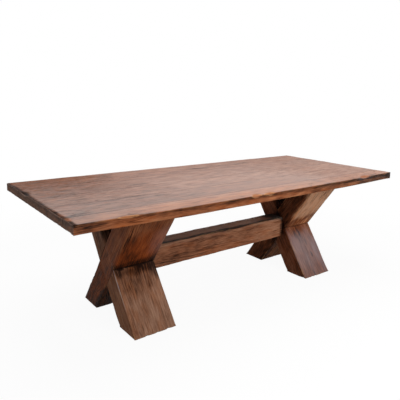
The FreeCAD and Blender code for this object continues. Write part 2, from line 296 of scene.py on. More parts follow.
@dataclass
class Block:
    """A block of wood whose surface is being worked.

    Attributes:
        low: its lowest corner.
        high: its highest corner.
        square: the surface's points while the block is square.
        points: where the work has taken them.
    """

    low: Array
    high: Array
    square: Array
    points: Array = field(init=False)

    def __post_init__(self) -> None:
        """Starts from the square points."""
        self.points = self.square.copy()

    def to_faces(self) -> list[Array]:
        """How far the square points lie from the nearer of the two faces along each axis."""
        return list(np.minimum(self.square - self.low, self.high - self.square).T)

    def ease(self, pair: tuple[int, int], radius: Array) -> None:
        """Rounds the edges between two pairs of opposite faces.

        A point nearer than the radius to two of the faces goes out from the arc's middle
        line to the arc.

        Args:
            pair: the two axes that the faces are square to.
            radius: the radius at each point.
        """
        axes = list(pair)
        flat, inwards = self.points[:, axes], radius[:, None]
        arc_middle = np.clip(flat, self.low[axes] + inwards, self.high[axes] - inwards)
        offset = flat - arc_middle
        length = np.linalg.norm(offset, axis=1)
        corner = (np.abs(offset) > TINY).all(axis=1)
        share = radius[corner] / length[corner]
        self.points[np.ix_(corner, axes)] = arc_middle[corner] + offset[corner] * share[:, None]

    def sink(self, depth: Array, layer: float, hidden: tuple[Signs, Signs]) -> None:
        """Moves the surface inwards.

        The way out at a point is the direction to it from the block shrunk by the layer. A
        point deeper than the layer stays where it is.

        Args:
            depth: how far each point goes in.
            layer: how deep the layer is that moves.
            hidden: for the low faces and for the high ones, 1 along each axis where that
                face isn't exposed, and else 0.
        """
        low = np.where(hidden[0], -NO_LIMIT, self.low) + layer
        high = np.where(hidden[1], NO_LIMIT, self.high) - layer
        offset = self.points - np.clip(self.points, low, high)
        length = np.linalg.norm(offset, axis=1)
        share = np.where(length > TINY, depth / np.maximum(length, TINY), 0)
        self.points -= offset * share[:, None]


def arris_distance(*faces: Array) -> Array:
    """How far surface points lie from the nearest arris.

    On the surface one of the distances to the faces is 0, and the next one is the way to
    the nearest arris.

    Args:
        faces: the distance of each point to each pair of faces.

    Returns:
        The second smallest of the distances at each point.
    """
    return np.sort(np.stack(faces, 1), axis=1)[:, 1]


@dataclass(frozen=True)
class Hollow:
    """A waney hollow that bevels an arris.

    Attributes:
        arris: the point of the square arris where the hollow is deepest.
        outward: the level direction out of the arris.
        length: its length along the arris.
        drop: how far down the upright face it reaches at its deepest.
        seed: which random field makes it ragged.
        steepness: the bevel's angle to the level, in degrees.
        is_bared: whether bare wood shows along its lip.
    """

    arris: Triple
    outward: Triple
    length: float
    drop: float
    seed: int
    steepness: float = 28.0
    is_bared: bool = False

    def cut(self, points: Array) -> tuple[Array, Array]:
        """Takes the hollow out of a surface.

        The bevel plane stands square to the outward direction times the sine of its
        steepness plus up times the cosine. Its drop is the greatest drop times one minus
        the square of twice the way along over the length, and what lies beyond the plane
        goes straight back onto it.

        Args:
            points: the places.

        Returns:
            The cut places, and how much each one lost.
        """
        steepness = math.radians(self.steepness)
        sine, cosine = math.sin(steepness), math.cos(steepness)
        bevel = np.array(self.outward) * sine + UP * cosine
        run = np.cross(np.array(self.outward), UP)
        from_arris = points - np.array(self.arris)
        along = from_arris @ run
        share = np.clip(1 - (2 * along / self.length) ** 2, 0, 1)
        ragged = 1 + 0.22 * rough_noise(points, (26, 26, 60), self.seed, 2)
        beyond = from_arris @ bevel + self.drop * cosine * share * np.minimum(ragged, 1.12)
        lost = np.where(share > 0, np.maximum(beyond, 0), 0)
        return points - lost[:, None] * bevel, lost


@dataclass(frozen=True)
class Patch:
    """A soft-edged place where a surface has more or less stain, dust, glow or wax, or painted
    shade, light, sheen or highlight.

    Attributes:
        middle: its middle.
        reach: how far it reaches along each axis.
        amount: how much it adds. For the stain, more is lighter.
    """

    middle: Triple
    reach: Triple
    amount: float

    def over(self, points: Array) -> Array:
        """The patch over a surface.

        With d the distance from the middle in reaches, pushed about by a random field, the
        amount is full up to 0.35 and falls smoothly to nothing at 1.

        Args:
            points: the places.

        Returns:
            The amount at each place.
        """
        away = np.linalg.norm((points - np.array(self.middle)) / np.array(self.reach), axis=1)
        ragged = away + 0.16 * rough_noise(points, (13, 13, 13), 91, 3)
        return self.amount * smooth_step(ragged, 1.0, 0.35)


def patched(points: Array, patches: list[Patch]) -> Array:
    """The sum of several patches over a surface."""
    return sum((patch.over(points) for patch in patches), np.zeros(len(points)))


@dataclass(frozen=True)
class Chips:
    """Small scoops knocked out of the arrises of a block.

    Attributes:
        count: how many there are.
        radius: the least and greatest radius of the ball that presses a scoop.
        depth: the least and greatest depth.
        seed: which random set to draw.
        margin: the share of an arris at each end that stays free of them.
    """

    count: int
    radius: tuple[float, float]
    depth: tuple[float, float]
    seed: int
    margin: float = 0.01

    def press(self, block: Block, arrises: list[Signs], short: float = 0.0) -> None:
        """Presses the scoops into a block's surface.

        A ball lies outside the arris with its nearest point at the depth, and what is in
        the ball goes straight out from its middle to its surface.

        Args:
            block: the block.
            arrises: those that may be chipped, each as the side it lies at along every
                axis: −1 or 1, and 0 for the axis that it runs along.
            short: how far an upright arris stops short of the top.
        """
        draw = np.random.default_rng(self.seed)
        sides = np.array(arrises)
        starts = np.where(sides > 0, block.high, block.low)
        ends = np.where(sides < 0, block.low, block.high - short * (sides == 0) * UP)
        outward = sides * math.sqrt(0.5)
        for _ in range(self.count):
            which = draw.integers(len(starts))
            way = draw.uniform(self.margin, 1 - self.margin)
            spot = starts[which] + (ends[which] - starts[which]) * way
            ball = draw.uniform(*self.radius)
            middle = spot + outward[which] * (ball - draw.uniform(*self.depth))
            away = block.points - middle
            length = np.linalg.norm(away, axis=1)
            inside = (length < ball) & (length > TINY)
            block.points[inside] = middle + away[inside] * (ball / length[inside])[:, None]


# ---- Shader work ---------------------------------------------------------------------------
class Shade:
    """A number from a shader socket. Sums on it add Math nodes."""

    def __init__(self, work: "NodeWork", socket: Socket) -> None:
        """Keeps the socket and the tree that it belongs to."""
        self.work = work
        self.socket = socket

    def _sum(self, operation: str, first: Any, second: Any) -> "Shade":
        """Adds one Math node on two values."""
        node = self.work.add("ShaderNodeMath", {"operation": operation}, {0: first, 1: second})
        return Shade(self.work, node.outputs[0])

    def __add__(self, other: "Number") -> "Shade":
        """This plus the other."""
        return self._sum("ADD", self, other)

    def __radd__(self, other: "Number") -> "Shade":
        """The other plus this."""
        return self._sum("ADD", other, self)

    def __sub__(self, other: "Number") -> "Shade":
        """This minus the other."""
        return self._sum("SUBTRACT", self, other)

    def __rsub__(self, other: "Number") -> "Shade":
        """The other minus this."""
        return self._sum("SUBTRACT", other, self)

    def __mul__(self, other: "Number") -> "Shade":
        """This times the other."""
        return self._sum("MULTIPLY", self, other)

    def __rmul__(self, other: "Number") -> "Shade":
        """The other times this."""
        return self._sum("MULTIPLY", other, self)

    def __abs__(self) -> "Shade":
        """This without its sign."""
        return self._sum("ABSOLUTE", self, 0.0)

    def least(self, other: "Number") -> "Shade":
        """The smaller of the two."""
        return self._sum("MINIMUM", self, other)

    def most(self, other: "Number") -> "Shade":
        """The greater of the two."""
        return self._sum("MAXIMUM", self, other)

    def sine(self) -> "Shade":
        """The sine of this angle in radians."""
        return self._sum("SINE", self, 0.0)

    def rise(self, start: float, end: float) -> "Shade":
        """A smooth rise from 0 where this is at start to 1 where it is at end.

        Args:
            start: the value at which the rise starts.
            end: the value at which it ends, which may be the lower one.

        Returns:
            The rise, from 0 to 1.
        """
        low, high, first, last = (start, end, 0.0, 1.0) if start < end else (end, start, 1.0, 0.0)
        inputs = {"Value": self, "From Min": low, "From Max": high, "To Min": first, "To Max": last}
        node = self.work.add("ShaderNodeMapRange", {"interpolation_type": "SMOOTHSTEP"}, inputs)
        return Shade(self.work, node.outputs[0])


Number = Union[Shade, float]
Source = Union[Shade, Socket, float, Triple, tuple[float, float, float, float]]


class NodeWork:
    """The node tree of one material or of the world."""

    def __init__(self, tree: bpy.types.NodeTree) -> None:
        """Empties the tree and keeps it."""
        self.tree = tree
        self.tree.nodes.clear()

    def add(self, kind: str, settings: dict[str, Any] | None = None,
            inputs: dict[str | int, Source] | None = None) -> bpy.types.Node:
        """Adds one node of any type.

        Args:
            kind: the node's type.
            settings: its settings by name, set first. A ramp's stops are places and colours.
            inputs: the values or links of its sockets, by identifier, name or number.

        Returns:
            The node.
        """
        node = self.tree.nodes.new(kind)
        for key, value in (settings or {}).items():
            if key == "stops":
                self._set_stops(node.color_ramp, value)
            else:
                setattr(node, key, value)
        for key, value in (inputs or {}).items():
            socket = self._socket(node, key)
            if isinstance(value, Shade):
                self.tree.links.new(value.socket, socket)
            elif isinstance(value, Socket):
                self.tree.links.new(value, socket)
            else:
                socket.default_value = value
        return node

    @staticmethod
    def _set_stops(ramp: bpy.types.ColorRamp, stops: list[tuple[float, Colour]]) -> None:
        """Gives a colour ramp its stops.

        Args:
            ramp: the ramp.
            stops: their places, from 0 to 1, and colours.
        """
        for place, _ in stops[1:-1]:
            ramp.elements.new(place)
        for element, (place, colour) in zip(ramp.elements, stops):
            element.position = place
            element.color = (*colour, 1.0)

    @staticmethod
    def _socket(node: bpy.types.Node, key: str | int) -> Socket:
        """Finds an input socket.

        Args:
            node: the node.
            key: the socket's number, identifier or name.

        Returns:
            The socket.
        """
        if isinstance(key, int):
            return node.inputs[key]
        for socket in node.inputs:
            if socket.identifier == key:
                return socket
        return node.inputs[key]

    def scaled(self, vector: Source, scale: Triple) -> Socket:
        """The vector times a scale along each axis."""
        return self.add("ShaderNodeVectorMath", {"operation": "MULTIPLY"},
                        {0: vector, 1: scale}).outputs[0]

    def shifted(self, vector: Source, shift: Source) -> Socket:
        """The vector plus a shift."""
        return self.add("ShaderNodeVectorMath", {"operation": "ADD"},
                        {0: vector, 1: shift}).outputs[0]

    def length(self, vector: Source) -> Shade:
        """A vector's length."""
        node = self.add("ShaderNodeVectorMath", {"operation": "LENGTH"}, {0: vector})
        return Shade(self, node.outputs["Value"])

    def attribute(self, name: str) -> Shade:
        """A value that the surface carries."""
        node = self.add("ShaderNodeAttribute", {"attribute_name": name})
        return Shade(self, node.outputs["Fac"])

    def noise(self, vector: Source, scale: Triple, detail: float = 2.0,
              roughness: float = 0.5) -> Shade:
        """A random field, from 0 to 1 and mostly near 0.5.

        Args:
            vector: the place in metres.
            scale: how fine it is along each axis, per metre.
            detail: how many finer layers it has.
            roughness: how strong those are.

        Returns:
            The field's value.
        """
        node = self.add("ShaderNodeTexNoise", {}, {
            "Vector": self.scaled(vector, scale), "Scale": 1.0, "Detail": detail,
            "Roughness": roughness})
        return Shade(self, node.outputs["Fac"])

    def blend(self, first: Source, second: Source, share: Number,
              way: str = "MIX") -> Socket:
        """Two colours blended.

        Args:
            first: the colour at share 0.
            second: the colour that comes in with the share.
            share: how much of the second.
            way: the Mix node's way of blending.

        Returns:
            The blended colour.
        """
        node = self.add("ShaderNodeMix", {"data_type": "RGBA", "blend_type": way}, {
            "Factor_Float": share, "A_Color": self._opaque(first), "B_Color": self._opaque(second)})
        return next(socket for socket in node.outputs if socket.identifier == "Result_Color")

    @staticmethod
    def _opaque(colour: Source) -> Source:
        """A plain colour with its fourth number, and anything else as it is."""
        return (*colour, 1.0) if isinstance(colour, tuple) and len(colour) == 3 else colour

    def ramp(self, place: Shade, stops: list[tuple[float, Colour]]) -> Socket:
        """The colour at a place on a ramp of stops from 0 to 1."""
        return self.add("ShaderNodeValToRGB", {"stops": stops}, {"Fac": place}).outputs[0]

    def ring_wave(self, place: Source, wobble: Number, gap: float) -> Shade:
        """Growth rings: the sine of the distance from the grain's axis over their gap."""
        from_heart = self.length(self.scaled(place, (0.0, 1.0, 1.0))) + wobble
        return (from_heart * (2 * math.pi / gap)).sine()

    def seen(self) -> Shade:
        """Tells the rays by which something is seen.

        Returns:
            1 for rays of the camera, of a mirror image and through glass, else 0.
        """
        rays = self.add("ShaderNodeLightPath")
        camera, glossy, through = (
            Shade(self, rays.outputs["Is {} Ray".format(kind)])
            for kind in ("Camera", "Glossy", "Transmission"))
        return camera.most(glossy).most(through)

    def either(self, first: bpy.types.Node, second: bpy.types.Node, share: Shade) -> bpy.types.Node:
        """Two shaders mixed, the second by its share."""
        return self.add("ShaderNodeMixShader", {}, {
            "Fac": share, 1: first.outputs[0], 2: second.outputs[0]})

    def surface(self, height: Shade, inputs: dict[str | int, Source]) -> None:
        """Ends a material's tree.

        Args:
            height: the relief in metres.
            inputs: the values or links of the surface shader's sockets, apart from Normal.
        """
        bump = self.add("ShaderNodeBump", {}, {"Strength": 1.0, "Distance": 1.0, "Height": height})
        shader = self.add("ShaderNodeBsdfPrincipled", {}, {**inputs, "Normal": bump.outputs[0]})
        self.add("ShaderNodeOutputMaterial", {}, {"Surface": shader.outputs[0]})


def new_material(name: str) -> tuple[bpy.types.Material, NodeWork]:
    """Starts a material.

    Args:
        name: its name.

    Returns:
        The material and its empty tree.
    """
    made = bpy.data.materials.new(name)
    made.use_nodes = True
    return made, NodeWork(made.node_tree)


@dataclass(frozen=True)
class Grain:
    """How a piece's wood lies: its own place in the random fields and the way of its grain.

    Attributes:
        seed: which part of the random fields the piece takes.
        along: the direction of the grain.
        across: a direction square to it, from the heart towards the bark.
        heart: where the log's heart lies, from the origin, across the grain.
    """

    seed: int
    along: Triple = (1.0, 0.0, 0.0)
    across: Triple = (0.0, 0.0, 1.0)
    heart: tuple[float, float] = (-0.35, 0.1)

    def place(self, work: NodeWork) -> Socket:
        """The place in the grain's own axes: along it, across it, and square to both.

        Args:
            work: the tree to add to.

        Returns:
            The place in metres, with the piece's own shift.
        """
        along, across = Vector(self.along), Vector(self.across)
        turn = Matrix((along, across, along.cross(across))).to_euler()
        shift = (self.seed * 7.31 % 23, *(-offset for offset in self.heart))
        where = work.add("ShaderNodeTexCoord").outputs["Object"]
        return work.add("ShaderNodeMapping", {}, {
            "Vector": where, "Rotation": tuple(turn), "Location": shift}).outputs[0]


@dataclass(frozen=True)
class Marks:
    """The marks of one timber's wood, each a value over its surface.

    Attributes:
        work: the tree that they are in.
        place: the place in the grain's axes.
        band: broad bands along the grain.
        streak: long streaks in them.
        strand: finer streaks.
        fibre: the finest ones.
        patch: soft patches.
        mottle: smaller patches.
        warmth: where the stain is warmer.
        broken: flecks that break up what is worn.
        speck: small specks.
        plane: the unevenness of a hewn or planed face.
        strokes: the strokes of a saw.
        ring: the dark lines of growth rings.
        knot: how deep in a knot the place is.
        check: drying cracks.
        pore: open pores.
    """

    work: NodeWork
    place: Socket
    band: Shade
    streak: Shade
    strand: Shade
    fibre: Shade
    patch: Shade
    mottle: Shade
    warmth: Shade
    broken: Shade
    speck: Shade
    plane: Shade
    strokes: Shade
    ring: Shade
    knot: Shade
    check: Shade
    pore: Shade


@dataclass(frozen=True)
class StainedTimber:
    """Old timber, stained dark and waxed, with worn arrises.

    Its surface carries the distances arris and joint, the shares end, raw, dust, glow and
    polish, the depth bare and the stain's tone. Where the patches put them, the tone also
    holds painted shade and light, the dust painted sheen and highlights, and the glow
    painted light.

    Attributes:
        name: the material's name.
        grain: how the wood lies.
        deep: the colour of the dark streaks.
        body: the colour of most of the surface.
        light: the colour of the light streaks.
        worn: the colour of bared wood on worn arrises.
        sawn: the colour of sawn end grain with dirt in its pores.
        ember: what the wood's colour is multiplied by where the stain glows through, and where
            warm light is painted.
        haze: the colour of the dusty bloom, and of the painted sheen and highlights that the
            dust share holds.
        pored: what the colour is multiplied by in open pores.
        grimed: what it is multiplied by in a dirty joint.
        cracked: what it is multiplied by in a drying crack.
        haze_share: how strong the bloom is.
        contrast: how strong all the marks are.
        streak_share: how strong the broad streaks are among them.
        strand_share: how strong the fine ones are.
        cloud_share: how strong the soft patches are.
        streaks_per_metre: how fine the broad streaks are across the grain.
        streak_length: about how long they are, in metres.
        sway: how far they swing to the sides, in metres.
        knots: the share of the places for a knot that have one.
        wear: how much of the arrises is bare.
        gleam: how much the wood shines under its wax.
        sheen: the roughness of the wood.
        wax_sheen: the roughness of the wax.
        ring_gap: the distance between growth rings, in metres.
        saw: the height of the saw marks, in metres.
    """

    name: str
    grain: Grain
    deep: Colour = (0.03, 0.014, 0.009)
    body: Colour = (0.15, 0.062, 0.034)
    light: Colour = (0.29, 0.14, 0.08)
    worn: Colour = (0.54, 0.3, 0.14)
    sawn: Colour = (0.23, 0.15, 0.115)
    ember: Colour = (0.95, 0.6, 0.32)
    haze: Colour = (0.275, 0.2, 0.21)
    pored: Colour = (0.4, 0.33, 0.31)
    grimed: Colour = (0.1, 0.08, 0.075)
    cracked: Colour = (0.07, 0.05, 0.045)
    haze_share: float = 0.02
    contrast: float = 0.5
    streak_share: float = 0.9
    strand_share: float = 1.7
    cloud_share: float = 0.8
    streaks_per_metre: float = 95.0
    streak_length: float = 0.14
    sway: float = 0.012
    knots: float = 0.24
    wear: float = 0.7
    gleam: float = 0.02
    sheen: float = 0.5
    wax_sheen: float = 0.36
    ring_gap: float = 0.0085
    saw: float = 0.00012

    def material(self) -> bpy.types.Material:
        """Builds the material.

        Returns:
            The material, with waxed wood over a relief.
        """
        made, work = new_material(self.name)
        marks = self._marks(work)
        pale = self._bared(marks)
        end = work.attribute("end")
        sheen = (self.sheen + (marks.strand - 0.5) * 0.25 + (marks.patch - 0.5) * 0.2
                 + marks.check * 0.4 + pale * 0.14 + end * 0.2 + marks.pore * 0.1)
        work.surface(self._relief(marks, end), {
            "Base Color": self._colour(marks, pale, end),
            "Roughness": sheen.most(0.16).least(0.95), "IOR": 1.5,
            "Specular IOR Level": self.gleam, "Coat Weight": self._wax(marks, pale),
            "Coat Roughness": self.wax_sheen, "Coat IOR": 1.6})
        return made

    def _marks(self, work: NodeWork) -> Marks:
        """Lays out the wood's marks.

        Args:
            work: the tree to add to.

        Returns:
            The marks, the long ones bent round the knots.
        """
        place = self.grain.place(work)
        bowed = self._swayed(work, place, (1.1, 3.0, 3.0), 0.05)
        knot, bent = self._knots(work, self._swayed(work, bowed, (7.0, 16.0, 16.0), self.sway))
        lengthwise, sideways = 1 / self.streak_length, self.streaks_per_metre
        fibre = work.noise(bent, (18.0, 900.0, 900.0), 1.0)
        return Marks(
            work=work,
            place=place,
            band=work.noise(bowed, (0.6, 6.0, 6.0), 1.0),
            streak=work.noise(bent, (lengthwise, sideways, sideways), 4.0, 0.62),
            strand=work.noise(bent, (lengthwise * 1.7, 190.0, 190.0), 3.0, 0.6),
            fibre=fibre,
            patch=work.noise(place, (4.0, 12.0, 12.0), 3.0, 0.6),
            mottle=work.noise(place, (12.0, 24.0, 24.0), 3.0, 0.6),
            warmth=work.noise(bent, (8.0, 34.0, 34.0), 3.0, 0.6),
            broken=work.noise(place, (11.0, 70.0, 70.0), 3.0, 0.65),
            speck=work.noise(place, (30.0, 105.0, 105.0), 2.0, 0.6).rise(0.5, 0.64),
            plane=work.noise(place, (5.0, 16.0, 16.0), 2.0),
            strokes=self._saw_strokes(work, place),
            ring=self._rings(work, bent),
            knot=knot,
            check=self._checks(work, bent),
            pore=fibre.rise(0.6, 0.74))

    def _colour(self, marks: Marks, pale: Shade, end: Shade) -> Socket:
        """The colour: streaked stain that glows through, with painted shade and light, then pores,
        dust with painted sheen, and all that is worn.

        Args:
            marks: the wood's marks.
            pale: how bare the wood is.
            end: how much of it is end grain.

        Returns:
            The colour.
        """
        work, strokes = marks.work, marks.strokes - 0.5
        raw = work.attribute("raw")
        figure = ((marks.band - 0.5) * 0.5 + (marks.streak - 0.5) * self.streak_share
                  + (marks.strand - 0.5) * self.strand_share - marks.ring * 0.14
                  + (marks.patch - 0.5) * self.cloud_share
                  + (marks.mottle - 0.5) * (self.cloud_share * 0.7))
        # The tone attribute also holds painted shade and light where the patches put them.
        tone = (0.55 + work.attribute("tone") * (marks.streak * 1.6 + 0.2)
                + figure * ((1 + raw) * self.contrast) - marks.knot * 0.4
                + strokes * (0.06 + raw * 0.12))
        darkest = tuple(0.45 * part for part in self.deep)
        wood = work.ramp(tone, [(0.0, darkest), (0.2, self.deep), (0.55, self.body),
                                (0.9, self.light), (1.0, self.light)])
        # The glow also holds painted light where the patches put it.
        glow = (marks.warmth.rise(0.47, 0.66) * 0.35 + work.attribute("glow")).most(0.0).least(1.0)
        cloud = work.noise(marks.place, (1.6, 7.0, 7.0), 4.0, 0.62)
        # The dust share also paints sheen and highlights where the patches put them.
        dust = (cloud.rise(0.4, 0.66) * 0.6 + 0.4) * (work.attribute("dust") + self.haze_share)
        sawn = end * (0.55 + strokes * 1.6 + (marks.patch - 0.5) * 0.8)
        grime = work.attribute("joint").rise(0.0045, 0.0) * 0.8
        layers = (
            (self.ember, glow, "MULTIPLY"), (self.pored, marks.pore * 0.45, "MULTIPLY"),
            (self.haze, dust, "MIX"), (self.sawn, sawn, "MIX"), (self.worn, pale * 0.8, "MIX"),
            (self.grimed, grime, "MULTIPLY"), (self.cracked, marks.check * 0.92, "MULTIPLY"))
        for layer, share, way in layers:
            wood = work.blend(wood, layer, share, way)
        return wood

    def _bared(self, marks: Marks) -> Shade:
        """How bare the wood is: on rubbed arrises and along the lips of hollows.

        Args:
            marks: the wood's marks.

        Returns:
            The share of bare wood.
        """
        arris, bare = marks.work.attribute("arris"), marks.work.attribute("bare")
        rubbed = arris.rise(0.0115, 0.0015) * marks.broken.rise(0.47, 0.6) * self.wear
        lip = bare.rise(0.0005, 0.0015) * bare.rise(0.0048, 0.0025)
        return rubbed.most(lip * marks.broken.rise(0.38, 0.54) * 0.85)

    @staticmethod
    def _wax(marks: Marks, pale: Shade) -> Shade:
        """The wax: what the surface has kept, without dark specks, cracks, pores and bare wood.

        Args:
            marks: the wood's marks.
            pale: how bare the wood is.

        Returns:
            The share of wax.
        """
        share = marks.mottle * 0.4 + marks.streak * 1.0 + marks.strand * 0.6
        kept = marks.work.attribute("polish") * share
        dark = (marks.work.attribute("tone") * -2.6).most(0.0)
        left = kept - marks.speck * dark - marks.check * 0.5 - pale * 0.3 - marks.pore * 0.2
        return left.most(0.0).least(1.0)

    def _relief(self, marks: Marks, end: Shade) -> Shade:
        """The relief in metres: streaks, knots and strokes, less rings, cracks and pores.

        Args:
            marks: the wood's marks.
            end: how much of it is end grain.

        Returns:
            The height.
        """
        return ((marks.streak - 0.5) * 0.0013 + (marks.strand - 0.5) * 0.0007
                + (marks.fibre - 0.5) * 0.0001 - marks.ring * 0.0001 - marks.check * 0.0016
                - marks.pore * 0.00008 + (marks.plane - 0.5) * 0.004
                + (marks.strokes - 0.5) * (self.saw + end * 0.0006) + marks.knot * 0.0008)

    @staticmethod
    def _swayed(work: NodeWork, place: Source, scale: Triple, reach: float) -> Socket:
        """The place pushed about across the grain by a random field.

        Args:
            work: the tree to add to.
            place: the place in the grain's axes.
            scale: how fine the field is along each axis, per metre.
            reach: how wide its swing is, in metres.

        Returns:
            The pushed place.
        """
        sway = work.add("ShaderNodeTexNoise", {}, {
            "Vector": work.scaled(place, scale), "Scale": 1.0, "Detail": 1.0})
        push = work.scaled(work.shifted(sway.outputs["Color"], (-0.5, -0.5, -0.5)),
                           (0.0, reach, reach))
        return work.shifted(place, push)

    def _knots(self, work: NodeWork, place: Source) -> tuple[Shade, Socket]:
        """Scatters a few knots and bends the grain round them.

        Space is cut into irregular cells with a middle each, and the cells that a random
        value picks have a knot there.

        Args:
            work: the tree to add to.
            place: the place in the grain's axes.

        Returns:
            How deep in a knot the place is, and the place with the grain bent.
        """
        spacing = (1.3, 5.0, 5.0)
        cells = work.add("ShaderNodeTexVoronoi", {}, {
            "Vector": work.scaled(place, spacing), "Scale": 1.0, "Randomness": 1.0})
        middle = work.scaled(cells.outputs["Position"], tuple(1 / part for part in spacing))
        offset = work.shifted(place, work.scaled(middle, (-1.0, -1.0, -1.0)))
        way = work.length(work.scaled(offset, (0.45, 1.0, 1.0)))
        draw = work.add("ShaderNodeSeparateColor", {}, {"Color": cells.outputs["Color"]})
        chosen = Shade(work, draw.outputs[0]).rise(self.knots + 0.02, self.knots - 0.02)
        push = work.add("ShaderNodeVectorMath", {"operation": "SCALE"}, {
            0: work.scaled(offset, (0.0, 1.0, 1.0)), "Scale": way.rise(0.075, 0.0) * chosen * 1.1})
        return way.rise(0.016, 0.004) * chosen, work.shifted(place, push.outputs[0])

    def _rings(self, work: NodeWork, place: Source) -> Shade:
        """The dark lines of late wood.

        Args:
            work: the tree to add to.
            place: the place in the grain's axes, bent.

        Returns:
            1 on a line and 0 between lines, fading in and out over the surface.
        """
        wave = work.ring_wave(place, work.noise(place, (0.8, 4.0, 4.0), 2.0) * 0.05, self.ring_gap)
        return wave.rise(0.1, 1.0) * work.noise(place, (1.5, 10.0, 10.0), 1.0).rise(0.4, 0.62)

    @staticmethod
    def _checks(work: NodeWork, place: Source) -> Shade:
        """Fine drying cracks, which follow the grain.

        A crack runs where a stretched random field passes through its middle value, in
        the few places that a second field picks.

        Args:
            work: the tree to add to.
            place: the place in the grain's axes, bent.

        Returns:
            1 in a crack and 0 outside.
        """
        line = abs(work.noise(place, (0.9, 13.0, 13.0), 1.5) - 0.5)
        picked = work.noise(place, (1.7, 9.0, 9.0), 1.0).rise(0.57, 0.66)
        fine_line = abs(work.noise(place, (1.5, 34.0, 34.0), 1.0) - 0.5)
        fine_picked = work.noise(place, (3.1, 14.0, 14.0), 1.0).rise(0.58, 0.68)
        return (line.rise(0.006, 0.001) * picked).most(fine_line.rise(0.01, 0.002) * fine_picked)

    @staticmethod
    def _saw_strokes(work: NodeWork, place: Source) -> Shade:
        """The slanting strokes that a saw leaves across the wood.

        Args:
            work: the tree to add to.
            place: the place in the grain's axes.

        Returns:
            Their height, from 0 to 1.
        """
        slant = work.add("ShaderNodeMapping", {}, {
            "Vector": place, "Rotation": (math.radians(35), 0.0, math.radians(12))}).outputs[0]
        return work.noise(slant, (300.0, 14.0, 260.0), 2.0, 0.6)


@dataclass(frozen=True)
class PlainTimber:
    """Plain sawn softwood for the battens, bearers and splines that nobody sees.

    Attributes:
        name: the material's name.
        grain: how the wood lies.
        deep: the colour of the late wood.
        body: the colour between.
        dusty: the colour of dust on it.
        ring_gap: the distance between growth rings, in metres.
    """

    name: str
    grain: Grain
    deep: Colour = (0.085, 0.042, 0.024)
    body: Colour = (0.195, 0.112, 0.066)
    dusty: Colour = (0.16, 0.122, 0.092)
    ring_gap: float = 0.0062

    def material(self) -> bpy.types.Material:
        """Builds the material.

        Returns:
            A material on the place alone.
        """
        made, work = new_material(self.name)
        place = self.grain.place(work)
        wobble = work.noise(place, (1.1, 6.0, 6.0), 2.0) * 0.03
        ring = work.ring_wave(place, wobble, self.ring_gap).rise(-0.4, 1.0)
        strand = work.noise(place, (5.0, 260.0, 260.0), 3.0, 0.6)
        streak = work.noise(place, (1.4, 26.0, 26.0), 2.0)
        feather = work.noise(place, (240.0, 12.0, 12.0), 2.0)
        tone = 0.75 - ring * 0.35 + (strand - 0.5) * 0.9 + (streak - 0.5) * 1.1
        darkest = tuple(0.5 * part for part in self.deep)
        wood = work.ramp(tone, [(0.0, darkest), (0.35, self.deep), (1.0, self.body)])
        dust = work.noise(place, (3.0, 11.0, 11.0), 3.0).rise(0.45, 0.68) * 0.3
        relief = (strand - 0.5) * 0.0006 - ring * 0.00008 + (feather - 0.5) * 0.0005
        work.surface(relief, {"Base Color": work.blend(wood, self.dusty, dust),
                              "Roughness": 0.66 + (strand - 0.5) * 0.3})
        return made


@dataclass(frozen=True)
class ZincSteel:
    """Zinc-plated steel, dulled with age.

    Attributes:
        name: the material's name.
        bright: the colour of clean plating.
        dull: the colour of its white bloom.
        rusty: the colour of the specks of rust.
    """

    name: str
    bright: Colour = (0.6, 0.61, 0.61)
    dull: Colour = (0.34, 0.33, 0.31)
    rusty: Colour = (0.16, 0.09, 0.05)

    def material(self) -> bpy.types.Material:
        """Builds the material.

        Returns:
            A material on the place alone.
        """
        made, work = new_material(self.name)
        place = work.add("ShaderNodeTexCoord").outputs["Object"]
        cloud = work.noise(place, (90.0, 90.0, 90.0), 4.0, 0.65).rise(0.42, 0.62)
        speck = work.noise(place, (900.0, 900.0, 900.0), 2.0).rise(0.56, 0.7)
        plating = work.blend(self.bright, self.dull, cloud * 0.7)
        work.surface(cloud * 0.00002 - speck * 0.00003, {
            "Base Color": work.blend(plating, self.rusty, speck * cloud * 0.5),
            "Roughness": 0.34 + cloud * 0.2 + speck * 0.15, "Metallic": 1.0 - speck * 0.5})
        return made


Finish = Union[StainedTimber, PlainTimber, ZincSteel]


def set_up_piece(skin: Skin, node: str, finish: StainedTimber, slot: Slot) -> None:
    """Makes the piece that stands for one construction node.

    Args:
        skin: its surface.
        node: the node's name.
        finish: its finish.
        slot: the record's slot that the finish belongs to.
    """
    name = "worn_" + node
    mesh = skin.mesh(name)
    mesh.materials.append(finish.material())
    piece = bpy.data.objects.new(name, mesh)
    bpy.context.scene.collection.objects.link(piece)
    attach(piece, BODY)
    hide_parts(node)
    LOG.info("%s: %d faces, %s", name, len(skin.quads), slot.value)


def dress_nodes(names: list[str], finish: Finish) -> None:
    """Gives construction nodes that stay in view their finish.

    Args:
        names: the nodes.
        finish: the finish that they share.
    """
    material = finish.material()
    for name in names:
        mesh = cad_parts[name].data
        mesh.materials.clear()
        mesh.materials.append(material)
        LOG.info("%s: own mesh, %s", name, finish.name)


